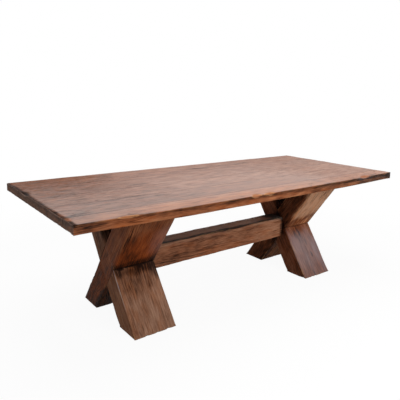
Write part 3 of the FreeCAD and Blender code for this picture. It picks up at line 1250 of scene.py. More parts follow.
# ---- The table's sub-assemblies --------------------------------------------------------------
@dataclass
class TableTop:
    """The plank top: five boards with loose splines, and the battens beneath.

    Attributes:
        board_names: the boards from front to back.
        arris_radius: how far the upper arris is worn round.
        end_radius: how far the ends' upper arrises are.
        underside_radius: how far the lower ones are.
        joint_chamfer: the chamfer along each joint.
        spline_half_width: half a spline groove's width.
        spline_seat: how high over the underside the groove's floor lies.
        spline_height: the groove's height.
        spline_stop: how far the grooves stop from the ends.
        upper_sag: how far the front edge's upper arris sags in the table's middle.
        lower_sag: how far its lower arris does.
        front_lip: how much thicker the front edge is than the boards.
        bevel: how far from an edge the lattice has one more plane for its chamfer.
        edge_chips: how many chips a board with an exposed edge has.
        end_chips: how many the others have.
        layer: how deep the layer is that sinks with the surface.
        step: the usual gap between lattice planes.
    """

    board_names: tuple[str, ...] = ("front", "second", "third", "fourth", "back")
    arris_radius: float = 0.0035
    end_radius: float = 0.0075
    underside_radius: float = 0.0018
    joint_chamfer: float = 0.0015
    spline_half_width: float = 0.0162
    spline_seat: float = 0.018
    spline_height: float = 0.0082
    spline_stop: float = 0.0598
    upper_sag: float = 0.0055
    lower_sag: float = 0.0065
    front_lip: float = 0.0035
    bevel: float = 0.0007
    edge_chips: int = 34
    end_chips: int = 8
    layer: float = 0.014
    step: float = 0.008

    def __post_init__(self) -> None:
        """Reads the top's own box from its boards and lays out the hollows."""
        boxes = np.array([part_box("top_board_" + name) for name in self.board_names])
        self.low, self.high = boxes[:, 0].min(axis=0), boxes[:, 1].max(axis=0)
        left, front, top = self.low[0], self.low[1], self.high[2]
        toward_front, toward_left = (0.0, -1.0, 0.0), (-1.0, 0.0, 0.0)
        self.hollows = [
            Hollow((left + 0.262, front, top), toward_front, 0.15, 0.009, 11, is_bared=True),
            Hollow((-0.16, front, top), toward_front, 0.095, 0.015, 12, is_bared=True),
            Hollow((-0.06, front, top), toward_front, 0.11, 0.0135, 16, is_bared=True),
            Hollow((-left - 0.325, front, top), toward_front, 0.16, 0.015, 13),
            Hollow((left, front + 0.21, top), toward_left, 0.21, 0.008, 14),
            Hollow((left, -front - 0.328, top), toward_left, 0.15, 0.012, 15),
        ]

    def finishes(self) -> list[StainedTimber]:
        """Lays out the boards' finishes.

        Returns:
            The five finishes, from front to back.
        """
        base = StainedTimber("stained_board", Grain(1), contrast=0.5, streak_share=1.6,
                             strand_share=1.2, cloud_share=0.22, streaks_per_metre=55.0,
                             streak_length=0.11, sway=0.001, knots=0.08, wear=0.2)
        looks = (
            ((0.29, 0.11, 0.051), (0.46, 0.2, 0.097), (-0.42, 0.35)),
            ((0.22, 0.085, 0.042), (0.375, 0.168, 0.086), (-0.16, 0.26)),
            ((0.235, 0.092, 0.045), (0.385, 0.173, 0.089), (-0.52, 0.08)),
            ((0.222, 0.084, 0.04), (0.358, 0.16, 0.08), (-0.12, -0.1)),
            ((0.228, 0.084, 0.038), (0.358, 0.158, 0.078), (-0.38, -0.42)),
        )
        return [replace(base, name="stained_board_" + name, grain=Grain(seed, heart=heart),
                        body=body, light=light)
                for seed, (name, (body, light, heart)) in enumerate(zip(self.board_names, looks), 1)]

    def board(self, index: int) -> Skin:
        """Builds one board.

        It is a lattice of cells with its spline grooves left out. The exposed edges are
        rounded by a radius that wanders along them, the joint's upper edges are eased, the
        surface sinks by a random field, and the hollows and chips are taken out.

        Args:
            index: the board's number from the front.

        Returns:
            The board's surface with the values that its finish reads.
        """
        low, high = (np.array(corner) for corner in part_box("top_board_" + self.board_names[index]))
        exposed = (index == 0, index == len(self.board_names) - 1)
        near = np.array([0, 1, 2, 3.2, 4.8, 7, 10, 14]) / 1000
        by_joint = np.array([self.spline_half_width, self.bevel, 0.0015, 0.004])
        walls = [wall for wall, lies in zip((low[1] + by_joint, high[1] - by_joint), exposed)
                 if not lies]
        floor = low[2] + self.spline_seat
        roof = floor + self.spline_height
        stop = high[0] - self.spline_stop
        bevels = (high[2] - self.bevel, low[2] + self.bevel)
        lattice = Lattice((
            planes(low[0], high[0], self.step, near, extra=(-stop, stop)),
            planes(low[1], high[1], self.step, near, *exposed, np.ravel(walls)),
            planes(low[2], high[2], self.step, near, extra=(floor, roof, *bevels))))
        for is_exposed, wall in zip(exposed, (low[1], high[1])):
            if not is_exposed:
                lattice.carve((-stop, wall - self.spline_half_width, floor),
                              (stop, wall + self.spline_half_width, roof))
        skin = lattice.skin()
        block = Block(low, high, skin.points)
        self._weather(block, exposed)
        bare, cut = np.zeros(len(block.points)), np.zeros(len(block.points))
        for hollow in self.hollows:
            block.points, lost = hollow.cut(block.points)
            cut = np.maximum(cut, lost)
            bare = np.maximum(bare, lost * hollow.is_bared)
        if exposed[0]:
            self._droop(block)
        return Skin(block.points, skin.quads, self._values(block, exposed, bare, cut))

    def _weather(self, block: Block, exposed: tuple[bool, bool]) -> None:
        """Rounds a board's edges and sinks and chips its surface.

        Args:
            block: the board.
            exposed: whether its front and its back edge lie open.
        """
        square, low, high = block.square, block.low, block.high
        wander = rough_noise(square, (9, 9, 0), 31, 3)
        upper = square[:, 2] > (low[2] + high[2]) / 2
        worn = np.where(upper, self.arris_radius * (1 + 0.55 * wander), self.underside_radius)
        is_open = np.where(square[:, 1] < (low[1] + high[1]) / 2, *exposed)
        joint = np.where(upper, self.joint_chamfer, 0.0006)
        block.ease((1, 2), np.where(is_open, worn, joint))
        block.ease((0, 2), np.where(upper, self.end_radius * (1 + 0.5 * wander),
                                    self.underside_radius))
        block.ease((0, 1), np.where(is_open, 0.0045, 0.0012))
        to_end = block.to_faces()[0]
        to_side = [np.where(lies, away, NO_LIMIT)
                   for lies, away in zip(exposed, (square[:, 1] - low[1], high[1] - square[:, 1]))]
        rough = smooth_step(np.minimum(to_end, np.minimum(*to_side)), 0.03, 0.0)
        waves = np.maximum(rough_noise(square, (7, 7, 9), 41, 3) + 1.2, 0)
        fine = np.abs(rough_noise(square, (5, 40, 60), 43, 2))
        depth = 0.0002 + waves * (0.0001 + 0.0006 * rough)
        depth += fine * (0.00012 + 0.0005 * rough)
        depth *= 1 - 0.6 * smooth_step(to_end, 0.03, 0.0) * ~upper
        block.sink(depth, self.layer, ((0, not exposed[0], 0), (0, not exposed[1], 0)))
        edges = [way for way, lies in zip((-1, 1), exposed) if lies]
        arrises = [(0, way, rise) for way in edges for rise in (-1, 1)]
        arrises += [(way, 0, rise) for way in (-1, 1) for rise in (-1, 1)]
        count = self.edge_chips if edges else self.end_chips
        Chips(count, (0.012, 0.03), (0.002, 0.0045), 900 + int(low[1] * 1000)).press(block, arrises)

    def _droop(self, block: Block) -> None:
        """Lets the front edge sag and hang a little lower than the boards.

        The sag is full over the middle half of the table and fades to nothing near its
        ends. The upper surface sinks by it over the last 0.09 m before the edge, and the
        lower one by its own sag plus the lip over the last 0.036 m.

        Args:
            block: the front board.
        """
        square = block.square
        middle = smooth_step(np.abs(square[:, 0] - 0.03), 1.14, 0.6)
        behind = square[:, 1] - self.low[1]
        height = (square[:, 2] - self.low[2]) / (self.high[2] - self.low[2])
        upper = self.upper_sag * middle * smooth_step(behind, 0.09, 0.0)
        lower = (self.lower_sag * middle + self.front_lip) * smooth_step(behind, 0.036, 0.004)
        block.points[:, 2] -= upper * height + lower * (1 - height)

    def _values(self, block: Block, exposed: tuple[bool, bool], bare: Array,
                cut: Array) -> dict[str, Array]:
        """The values that the finish reads.

        Args:
            block: the board.
            exposed: whether its front and its back edge lie open.
            bare: how deep the hollows with a bare lip are.
            cut: how deep all hollows are.

        Returns:
            The distances to the nearest arris and joint, the depth of the bare hollows, and
            the shares of end grain, raw wood, dust with a painted highlight, stain, glow and wax.
        """
        square = block.square
        to_end, _, to_face = block.to_faces()
        to_front, to_back = square[:, 1] - block.low[1], block.high[1] - square[:, 1]
        far = np.full(len(square), FAR_AWAY)
        side = np.minimum(to_front if exposed[0] else far, to_back if exposed[1] else far)
        joint = np.minimum(far if exposed[0] else to_front, far if exposed[1] else to_back)
        end = smooth_step(to_end, 0.004, 0.0)
        raw = np.maximum(end, 0.05 * smooth_step(side, 0.004, 0.0))
        wearing = arris_distance(to_end, to_face, side) + 0.02 * smooth_step(to_end, 0.012, 0.0)
        soiled = smooth_step(cut - bare, 0.0, 0.003) * (square[:, 0] < 0)
        waxed = (1 - raw) * smooth_step(cut, 0.0035, 0.0)
        shine = patched(square, self._on_edge((1.05, 0.45, 0.004, 0.2, 0.04)))
        # Painted highlight: a pale haze on the bevel of the front edge's rightmost hollow.
        bloom = patched(square, [Patch((0.895, self.low[1], self.high[2]), (0.15, 0.03, 0.02), 0.35)])
        return {
            "arris": wearing, "joint": joint, "end": end, "raw": raw, "bare": bare,
            "dust": 0.18 * end + bloom, "glow": patched(square, self.glows()),
            "tone": patched(square, self.patches()) - 0.25 * self._rim(square) - 0.15 * soiled,
            "polish": self._polish(square) * waxed + shine}

    def _polish(self, square: Array) -> Array:
        """How much wax the upper face has kept: most in the middle of the front.

        Args:
            square: the points of the square board.

        Returns:
            The share of wax, full at 1 and none below the upper face.
        """
        upper = smooth_step(square[:, 2], self.high[2] - 0.003, self.high[2] - 0.0005)
        backward = (square[:, 1] - self.low[1]) / (self.high[1] - self.low[1])
        right = smooth_step(square[:, 0], 0.2, 0.8)
        left = smooth_step(square[:, 0], -0.4, -0.9)
        middle = smooth_step(np.abs(square[:, 0] - 0.1), 0.7, 0.2) * (1 - backward) ** 2
        kept = (1.18 - 0.64 * backward) * (1 - (0.42 - 0.35 * backward) * right)
        kept += 0.2 * middle - 0.46 * left * backward
        return upper * np.maximum(kept * (1 - 1.15 * self._rim(square)), 0)

    def _rim(self, square: Array) -> Array:
        """Where the left end's upper rim has less wax and a darker tone.

        Args:
            square: the points of the square board.

        Returns:
            How far it is, from 0 to 1.
        """
        left, front = self.low[0], self.low[1]
        worn = patched(square, self._on_top(
            (left, 0.0, 0.024, EVERYWHERE, 0.02, 0.9), (left, front + 0.08, 0.036, 0.09, 0.03, 0.7),
            (left, front + 0.21, 0.026, 0.09, 0.03, 0.5),
            (left, -front - 0.328, 0.044, 0.09, 0.03, 0.7),
            (left, -front - 0.2, 0.032, 0.09, 0.03, 0.7)))
        return np.clip(worn, 0, 1)

    def patches(self) -> list[Patch]:
        """Where the top's stain is lighter or darker.

        Returns:
            The patches.
        """
        left, front = self.low[0], self.low[1]
        return self._on_top(
            (left, 0.0, 1.0, EVERYWHERE, 0.03, -0.08), (-left, 0.0, 0.9, EVERYWHERE, 0.03, 0.06),
            (left, front + 0.08, 0.04, 0.08, 0.03, -0.12),
            (left + 0.1, front + 0.12, 0.1, 0.14, 0.008, -0.1),
            (-0.75, front + 0.07, 0.2, 0.1, 0.008, 0.09),
            (left + 0.01, -0.34, 0.03, 0.06, 0.008, 0.22),
            (left + 0.015, -0.42, 0.02, 0.04, 0.008, 0.35),
            (left, -front, 0.9, 0.6, 0.03, -0.06),
            (0.0, front + 0.05, 0.75, 0.1, 0.008, 0.11),
        ) + self._on_edge(
            (-1.1, 0.1, 0.012, -0.1, 0.012), (-1.15, 0.14, 0.0, -0.08, 0.04),
            (-0.87, 0.2, 0.012, -0.05, 0.014), (-1.15, 0.035, 0.0, -0.12, 0.01),
            (-1.09, 0.05, 0.002, -0.16, 0.01), (-0.76, 0.1, 0.012, -0.08, 0.01),
            (-0.61, 0.12, 0.006, -0.06, 0.008), (-0.36, 0.08, 0.008, -0.12, 0.01),
            (-0.25, 0.9, 0.014, -0.12, 0.014), (0.02, 0.5, 0.014, -0.07, 0.014),
            (-0.05, 0.06, -0.01, 0.2, 0.014), (0.16, 0.07, -0.01, 0.1, 0.014),
            (0.36, 0.08, -0.01, -0.18, 0.014), (0.56, 0.07, 0.0, -0.1, 0.03),
            (-0.9, 0.24, -0.012, 0.13, 0.014), (0.0, 0.45, -0.012, 0.15, 0.016),
            (-1.17, 0.06, -0.008, -0.1, 0.016), (0.66, 0.48, 0.014, -0.2, 0.018),
            (1.05, 0.55, 0.014, -0.19, 0.022), (1.19, 0.08, 0.0, -0.16, 0.04),
            (1.1, 0.4, -0.006, -0.18, 0.04),
        )

    def glows(self) -> list[Patch]:
        """Where the stain glows through.

        Returns:
            The patches.
        """
        return self._on_edge(
            (-0.77, 0.95, 0.0, 0.32, 0.06), (0.1, 0.5, 0.0, 0.25, 0.06),
            (0.55, 0.4, -0.012, 0.12, 0.014), (0.85, 0.65, 0.01, -0.3, 0.03),
            (-0.97, 0.1, -0.01, 0.3, 0.03))

    def _on_top(self, *rows: tuple[float, ...]) -> list[Patch]:
        """Patches on the upper face.

        Args:
            rows: for each one its X and Y, its reach along both, how deep it reaches and
                its amount.

        Returns:
            The patches.
        """
        return [Patch((x, y, self.high[2]), tuple(reach), amount) for x, y, *reach, amount in rows]

    def _on_edge(self, *rows: tuple[float, ...]) -> list[Patch]:
        """Long patches on the front edge.

        Args:
            rows: for each one its X, its reach along the table, its height over the edge's
                middle line, its amount and its reach up and down.

        Returns:
            The patches.
        """
        front, middle, depth = self.low[1], (self.low[2] + self.high[2]) / 2, 0.01
        return [Patch((x, front, middle + height), (reach, depth, spread), amount)
                for x, reach, height, amount, spread in rows]

    def build(self) -> None:
        """Builds the boards and dresses the splines and battens."""
        for index, (name, finish) in enumerate(zip(self.board_names, self.finishes())):
            set_up_piece(self.board(index), "top_board_" + name, finish, Slot.TOP)
        splines, battens = (sorted(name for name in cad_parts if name.startswith(start))
                            for start in ("top_spline_", "top_batten_"))
        dress_nodes(splines, PlainTimber("spline_timber", Grain(21, heart=(-0.7, 0.3))))
        across = Grain(22, (0.0, 1.0, 0.0), (0.0, 0.0, 1.0), (-0.62, 0.05))
        dress_nodes(battens, PlainTimber("batten_timber", across))


@dataclass
class Trestle:
    """One X-shaped trestle: two half-lapped leg timbers and the bearer across their tops.

    Attributes:
        side: which end of the table it stands at.
        crossing_height: how high the timbers cross.
        foot_spread: the distance between the feet's middles.
        thickness: a timber's thickness, square to its faces that lean.
        arris_radius: how far the long arrises are worn round.
        foot_radius: how far the sole's long arrises are.
        corner_radius: how far its short ones are.
        knocked_corner: how much further the right front foot's inner corner is knocked off.
        foot_height: how high over the sole it and the sole's rounding reach.
        bearer_half: half the bearer's width with its clearance.
        bearer_depth: how deep the bearer is let in.
        bearer_stop: how far across the timber the trench reaches.
        swell: how far the hewn faces stand out past the straight timber at most.
        creep: how far the left trestle's soles have crept along X, each its own way, and
            the right one's back sole towards the front.
        layer: how deep the layer is that sinks with the surface.
        step: the usual gap between lattice planes.
    """

    side: Side
    crossing_height: float = 0.328
    foot_spread: float = 0.462
    thickness: float = 0.141
    arris_radius: float = 0.007
    foot_radius: float = 0.004
    corner_radius: float = 0.007
    knocked_corner: float = 0.018
    foot_height: float = 0.05
    bearer_half: float = 0.0455
    bearer_depth: float = 0.045
    bearer_stop: float = 0.0487
    swell: float = 0.003
    creep: float = 0.0055
    layer: float = 0.014
    step: float = 0.008

    def __post_init__(self) -> None:
        """Works out the lean and reads the trestle's own box."""
        self.angle = math.atan(self.foot_spread / 2 / self.crossing_height)
        low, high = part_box(self.node(Lean.FRONT_FOOT))
        self.inner, self.outer = sorted((low[0], high[0]), key=abs)
        self.underside = high[2]
        self.middle = (self.inner + self.outer) / 2

    def node(self, lean: Lean) -> str:
        """The construction node of one leg timber."""
        return "leg_{}_{}".format(self.side.name.lower(), lean.name.lower())

    def axes(self, lean: Lean) -> tuple[Array, Array]:
        """The directions along a timber and across it, both square to X."""
        sine, cosine = math.sin(self.angle) * lean.value, math.cos(self.angle)
        return np.array([0, sine, cosine]), np.array([0, cosine, -sine])

    def place(self, points: Array, lean: Lean) -> Array:
        """Takes points from a straight block to the leaning timber.

        A point's X stays. Its way along the timber is its station plus a slant times its
        way across, where the slant is the tangent of the lean at the level cuts of foot
        and head and minus the cotangent of twice the lean at the shoulders of the lap, and
        runs evenly between.

        Args:
            points: the block's points: X, across, station.
            lean: which timber.

        Returns:
            The points in the table's frame.
        """
        along, across = self.axes(lean)
        stations, slants = self.stations(lean)
        way = points[:, 2] + np.interp(points[:, 2], stations, slants) * points[:, 1]
        placed = way[:, None] * along + points[:, 1][:, None] * across
        placed[:, 0] = points[:, 0]
        placed[:, 2] += self.crossing_height
        return placed

    def stations(self, lean: Lean) -> tuple[list[float], list[float]]:
        """Lays out a timber's cuts, from its foot to its head.

        Args:
            lean: which timber.

        Returns:
            How far along its middle each one lies, and how it slants.
        """
        level = lean.value * math.tan(self.angle)
        shoulder = -lean.value / math.tan(2 * self.angle)
        half_lap = self.thickness / 2 / math.sin(2 * self.angle)
        cosine = math.cos(self.angle)
        head = (self.underside - self.crossing_height) / cosine
        trench = head - self.bearer_depth / cosine
        foot = -self.crossing_height / cosine
        return [foot, -half_lap, half_lap, trench, head], [level, shoulder, shoulder, level, level]

    def timber(self, lean: Lean) -> Skin:
        """Builds one leg timber.

        It is a straight lattice of cells with the lap and the bearer's trench left out,
        weathered, and then taken to its lean.

        Args:
            lean: which timber.

        Returns:
            Its surface with the values that its finish reads.
        """
        foot, lower, upper, trench, head = self.stations(lean)[0]
        half = self.thickness / 2
        near = np.array([0, 1, 2.2, 3.6, 5.4, 8, 11, 15]) / 1000
        left, right = sorted((self.inner, self.outer))
        bearer = (self.middle - self.bearer_half, self.middle + self.bearer_half)
        stop = lean.value * self.bearer_stop
        by_lap = (lower - 0.002, lower, upper, upper + 0.002)
        lattice = Lattice((
            planes(left, right, self.step, near, extra=(self.middle, *bearer)),
            planes(-half, half, self.step, near, extra=(stop,)),
            planes(foot, head, self.step, near, high_dense=False, extra=(*by_lap, trench))))
        lost_side = self.outer if lean is Lean.FRONT_FOOT else self.inner
        lost_low, lost_high = sorted((self.middle, lost_side))
        across = sorted((-lean.value * NO_LIMIT, stop))
        lattice.carve((lost_low, -NO_LIMIT, lower), (lost_high, NO_LIMIT, upper))
        lattice.carve((bearer[0], across[0], trench), (bearer[1], across[1], NO_LIMIT))
        skin = lattice.skin()
        block = Block(np.array([left, -half, foot]), np.array([right, half, head]), skin.points)
        lost = (block.square[:, 0] > lost_low - 1e-6) & (block.square[:, 0] < lost_high + 1e-6)
        self._weather(block, (lower, upper), lean)
        points = self.place(block.points, lean)
        crept = self.creep * smooth_step(block.square[:, 2], lower, foot)
        if self.side is Side.LEFT:
            points[:, 0] += crept * lean.value
        elif lean is Lean.BACK_FOOT:
            points[:, 1] -= crept
        return Skin(points, skin.quads, self._values(block, (lower, upper), lost, lean))

    def _weather(self, block: Block, lap: tuple[float, float], lean: Lean) -> None:
        """Rounds a timber's arrises and sinks and chips its surface, while it is straight.

        Args:
            block: the timber.
            lap: the stations of the lap's shoulders.
            lean: which timber.
        """
        square, low, high = block.square, block.low, block.high
        station = square[:, 2]
        seed = 60 + 7 * self.side.value + 3 * lean.value
        crossing = (smooth_step(station, lap[0] - 0.012, lap[0] + 0.006)
                    * smooth_step(station, lap[1] + 0.012, lap[1] - 0.006))
        wander = 1 + 0.5 * rough_noise(square, (6, 6, 11), seed, 3)
        is_knocked = self.side is Side.RIGHT and lean is Lean.FRONT_FOOT
        knock = (self.knocked_corner * is_knocked
                 * smooth_step(square[:, 0], self.middle, self.inner)
                 * smooth_step(square[:, 1], low[1] + self.foot_height, low[1]))
        radius = self.arris_radius * wander * (1 - 0.75 * crossing)
        ankle = low[2] + self.foot_height
        block.ease((0, 1), radius + knock * smooth_step(station, ankle, low[2]))
        at_foot, sharp = station < ankle, 0.0003
        block.ease((0, 2), np.where(at_foot, (self.corner_radius + knock) * wander, sharp))
        block.ease((1, 2), np.where(at_foot, self.foot_radius * wander + knock * 0.4, sharp))
        hewn = np.maximum(rough_noise(square, (5, 5, 6), seed + 1, 3) + 0.7, 0)
        fine = np.abs(rough_noise(square, (45, 45, 6), seed + 2, 2))
        fine *= smooth_step(station, low[2], low[2] + 0.03)
        depth = (0.0011 * hewn + 0.0005 * fine) * (1 - 0.8 * crossing) - self.swell * (1 - crossing)
        head = smooth_step(station, high[2] - 0.004, high[2])
        block.sink(depth * (1 - head), self.layer, ((0, 0, 1), (0, 0, 1)))
        arrises = [(x_way, y_way, 0) for x_way in (-1, 1) for y_way in (-1, 1)] + [(0, -1, -1)]
        Chips(15, (0.01, 0.03), (0.002, 0.006), seed).press(block, arrises, short=0.06)

    def _values(self, block: Block, lap: tuple[float, float], lost: Array,
                lean: Lean) -> dict[str, Array]:
        """The values that the finish reads.

        Args:
            block: the timber.
            lap: the stations of the lap's shoulders.
            lost: which points lie in the half that the lap takes away.
            lean: which timber.

        Returns:
            The distances to the nearest arris and joint, and the shares of end grain, raw
            wood, dust with painted sheen, stain with painted shade and light, glow with painted
            light, and wax. No hollow is bare.
        """
        square, station = block.square, block.square[:, 2]
        to_x, to_y, to_end = block.to_faces()
        to_foot = station - block.low[2]
        to_shoulder = np.minimum(np.abs(station - lap[0]), np.abs(station - lap[1]))
        in_lap = (station > lap[0]) & (station < lap[1])
        joint = np.where(lost, to_shoulder, np.where(in_lap, to_y, to_shoulder + 0.02))
        arris = np.where(in_lap, 0.05, arris_distance(to_x, to_y, to_foot))
        # Tone, dust and glow also hold painted shade, light, sheen and highlights where the patches put
        # them.
        tone, dust, glow = (patched(square, patches) for patches in self.patches(lean))
        return {"arris": arris, "joint": np.minimum(joint, to_foot + 0.0012),
                "end": smooth_step(to_end, 0.003, 0.0), "bare": np.zeros(len(square)),
                "raw": np.full(len(square), 0.3), "tone": tone, "dust": dust, "glow": glow,
                "polish": dust * 0.7}

    def _on_front(self, *rows: tuple[float, ...], depth: float = 0.03) -> list[Patch]:
        """Patches on a timber's front face.

        Args:
            rows: for each one its X, its station, its reach along X and along the timber,
                and its amount.
            depth: how far they reach across the timber.

        Returns:
            The patches.
        """
        front = -self.thickness / 2
        return [Patch((x, front, station), (wide, depth, long), amount)
                for x, station, wide, long, amount in rows]

    @staticmethod
    def _right_across(*rows: tuple[float, ...]) -> list[Patch]:
        """Patches that reach right across a timber, each given as those on the front face."""
        return [Patch((x, 0.0, station), (wide, EVERYWHERE, long), amount)
                for x, station, wide, long, amount in rows]

    def patches(self, lean: Lean) -> tuple[list[Patch], list[Patch], list[Patch]]:
        """Where one timber's stain is lighter or darker, dusty, or glowing through, with painted shade,
        light and sheen among them.

        Args:
            lean: which timber.

        Returns:
            The patches of the stain with painted shade and light, of the dust with painted sheen
            and highlights, and of the glow with painted light, as X, across and station.
        """
        seam = -lean.value * self.stations(lean)[0][2]
        inner, middle, outer = self.inner, self.middle, self.outer
        on_front, right_across = self._on_front, self._right_across
        near_seam = on_front((middle, seam, 0.15, 0.01, -0.35), (middle, seam, 0.17, 0.06, -0.12))
        # Painted shade: the inner side is darker round the crossing, the faces in the upper fork are
        # darker under the top, and the inner side is darker where the stretcher meets the timber.
        painted_shade_inside_crossing = right_across((inner, 0.0, 0.06, 0.2, -0.25))
        painted_shade_in_fork = on_front((middle, 0.27, EVERYWHERE, 0.24, -0.3))
        painted_shade_by_beam = right_across((inner, 0.0, 0.06, 0.12, -0.35))
        table = {
            (Side.LEFT, Lean.BACK_FOOT): (
                near_seam + painted_shade_inside_crossing + right_across(
                    (outer, 0.3, 0.008, 0.3, 0.09), (outer, -0.3, 0.008, 0.3, -0.16),
                ) + on_front(
                    (outer, 0.3, 0.13, 0.22, -0.1), (inner, 0.2, 0.1, 0.3, 0.03),
                    (middle, seam + 0.01, 0.2, 0.045, -0.2), (outer + 0.03, 0.36, 0.05, 0.08, 0.28),
                    (inner, 0.25, 0.13, 0.13, 0.08), (inner - 0.04, 0.385, 0.07, 0.06, 0.13),
                    # Painted shade: the next row darkens the lower arm's front face inside the lower V.
                    (middle, -0.27, EVERYWHERE, 0.2, -0.3),
                    (middle - 0.06, 0.15, 0.06, 0.06, -0.17), (outer, 0.3, 0.006, 0.12, 0.25)),
                right_across((outer, 0.0, 0.008, 1.4, 0.05))
                + on_front((inner, 0.25, 0.12, 0.13, 0.15), depth=0.01),
                on_front((middle - 0.03, 0.16, 0.19, 0.24, 1.0))
                + right_across((outer, 0.0, 0.03, 0.6, 0.15), (outer, -0.3, 0.03, 0.35, 0.15))),
            (Side.LEFT, Lean.FRONT_FOOT): (
                near_seam + painted_shade_inside_crossing + painted_shade_in_fork + on_front(
                    (middle, -0.36, 0.2, 0.2, 0.07), (middle + 0.03, seam - 0.006, 0.018, 0.013, -0.6),
                    (middle - 0.09, seam - 0.004, 0.026, 0.01, -0.5),
                    (middle - 0.01, seam - 0.03, 0.09, 0.03, -0.08),
                    (middle, seam - 0.06, 0.2, 0.12, -0.07), (inner, seam - 0.04, 0.07, 0.08, -0.22),
                    (outer + 0.03, seam - 0.02, 0.05, 0.035, -0.18),
                    (inner - 0.06, seam - 0.02, 0.05, 0.035, -0.18),
                    (outer + 0.05, -0.24, 0.08, 0.06, 0.1), (inner - 0.06, -0.225, 0.05, 0.05, 0.12),
                ) + right_across((outer, -0.3, 0.008, 0.3, 0.17))
                + on_front((outer, -0.2, 0.008, 0.24, -0.16), depth=0.024),
                # Painted highlight: a pale line down the outer arris of the lower front face.
                on_front((outer, -0.16, 0.005, 0.13, 2.0), depth=0.005),
                on_front((middle, -0.13, 0.16, 0.14, 0.25), (middle, seam - 0.02, 0.17, 0.04, 0.35))
                + right_across((outer, -0.2, 0.03, 0.4, 0.35))),
            (Side.RIGHT, Lean.BACK_FOOT): (
                painted_shade_inside_crossing + painted_shade_by_beam + right_across(
                    (inner, 0.25, 0.04, 0.2, -0.12), (inner, -0.3, 0.04, 0.3, -0.12),
                ) + on_front(
                    (middle, seam, 0.15, 0.01, -0.15), (middle, 0.34, EVERYWHERE, 0.25, 0.36),
                    (inner, -0.32, 0.06, 0.2, -0.4), (outer - 0.08, 0.105, 0.05, 0.05, 0.22),
                    (inner + 0.06, 0.13, 0.05, 0.05, -0.13), (outer - 0.08, 0.33, 0.07, 0.07, -0.13),
                    # Painted light: the next row lightens the lower arm's front face, which faces down
                    # into the shade.
                    (middle, -0.3, 0.24, 0.25, 0.24)),
                [],
                # Painted light: the second patch on the next line warms that same shaded face.
                on_front((middle, 0.11, 0.15, 0.08, 0.6), (middle, -0.3, 0.24, 0.25, 0.5))
                + right_across((inner, 0.0, 0.04, 0.6, 0.4))),
            (Side.RIGHT, Lean.FRONT_FOOT): (
                painted_shade_inside_crossing + painted_shade_in_fork + painted_shade_by_beam + on_front(
                    (middle, seam, 0.15, 0.008, -0.15), (middle, -0.2, 0.2, 0.25, 0.02),
                    (outer, -0.39, 0.07, 0.14, -0.16), (middle - 0.01, -0.13, 0.008, 0.03, -0.4),
                    (middle + 0.02, -0.19, 0.007, 0.025, -0.4),
                    (middle + 0.03, -0.27, 0.01, 0.022, -0.7)),
                # Painted reflection: a pale mauve sheen over the lower front face, widest by its inner
                # arris.
                on_front((inner + 0.07, -0.23, 0.26, 0.17, 0.4), (inner + 0.04, -0.19, 0.08, 0.07, 0.25),
                         (middle, -0.3, EVERYWHERE, 0.24, 0.6), depth=0.01),
                on_front((outer, -0.33, 0.17, 0.16, 0.4), (middle, -0.1, 0.12, 0.05, 0.4))
                + right_across((inner, 0.0, 0.04, 0.6, 0.4))),
        }
        return table[self.side, lean]

    def finish(self, lean: Lean) -> StainedTimber:
        """Lays out one leg timber's finish.

        Args:
            lean: which timber.

        Returns:
            The finish.
        """
        along, across = self.axes(lean)
        seed = 31 + 4 * self.side.value + lean.value
        grain = Grain(seed, tuple(along), tuple(across), (-0.24 + 0.05 * lean.value, 0.2))
        base = StainedTimber("stained_" + self.node(lean), grain)
        looks: dict[tuple[Side, Lean], dict[str, Any]] = {
            (Side.LEFT, Lean.BACK_FOOT): {
                "body": (0.245, 0.083, 0.035), "light": (0.42, 0.162, 0.072), "wear": 0.25,
                "gleam": 0.011},
            (Side.LEFT, Lean.FRONT_FOOT): {
                "body": (0.24, 0.119, 0.072), "light": (0.406, 0.228, 0.149), "wear": 0.3,
                "gleam": 0.008, "contrast": 0.45},
            (Side.RIGHT, Lean.BACK_FOOT): {
                "body": (0.212, 0.08, 0.038), "light": (0.715, 0.4, 0.242), "gleam": 0.008},
            (Side.RIGHT, Lean.FRONT_FOOT): {
                "body": (0.225, 0.084, 0.042), "light": (0.375, 0.19, 0.13)},
        }
        return replace(base, **looks[self.side, lean])

    def build(self) -> None:
        """Builds the leg timbers and dresses the bearer."""
        for lean in Lean:
            set_up_piece(self.timber(lean), self.node(lean), self.finish(lean), Slot.TRESTLE)
        bearer = "bearer_" + self.side.name.lower()
        across = Grain(24 + self.side.value, (0.0, 1.0, 0.0), (0.0, 0.0, 1.0), (-0.6, 0.7))
        dress_nodes([bearer], PlainTimber(bearer + "_timber", across))


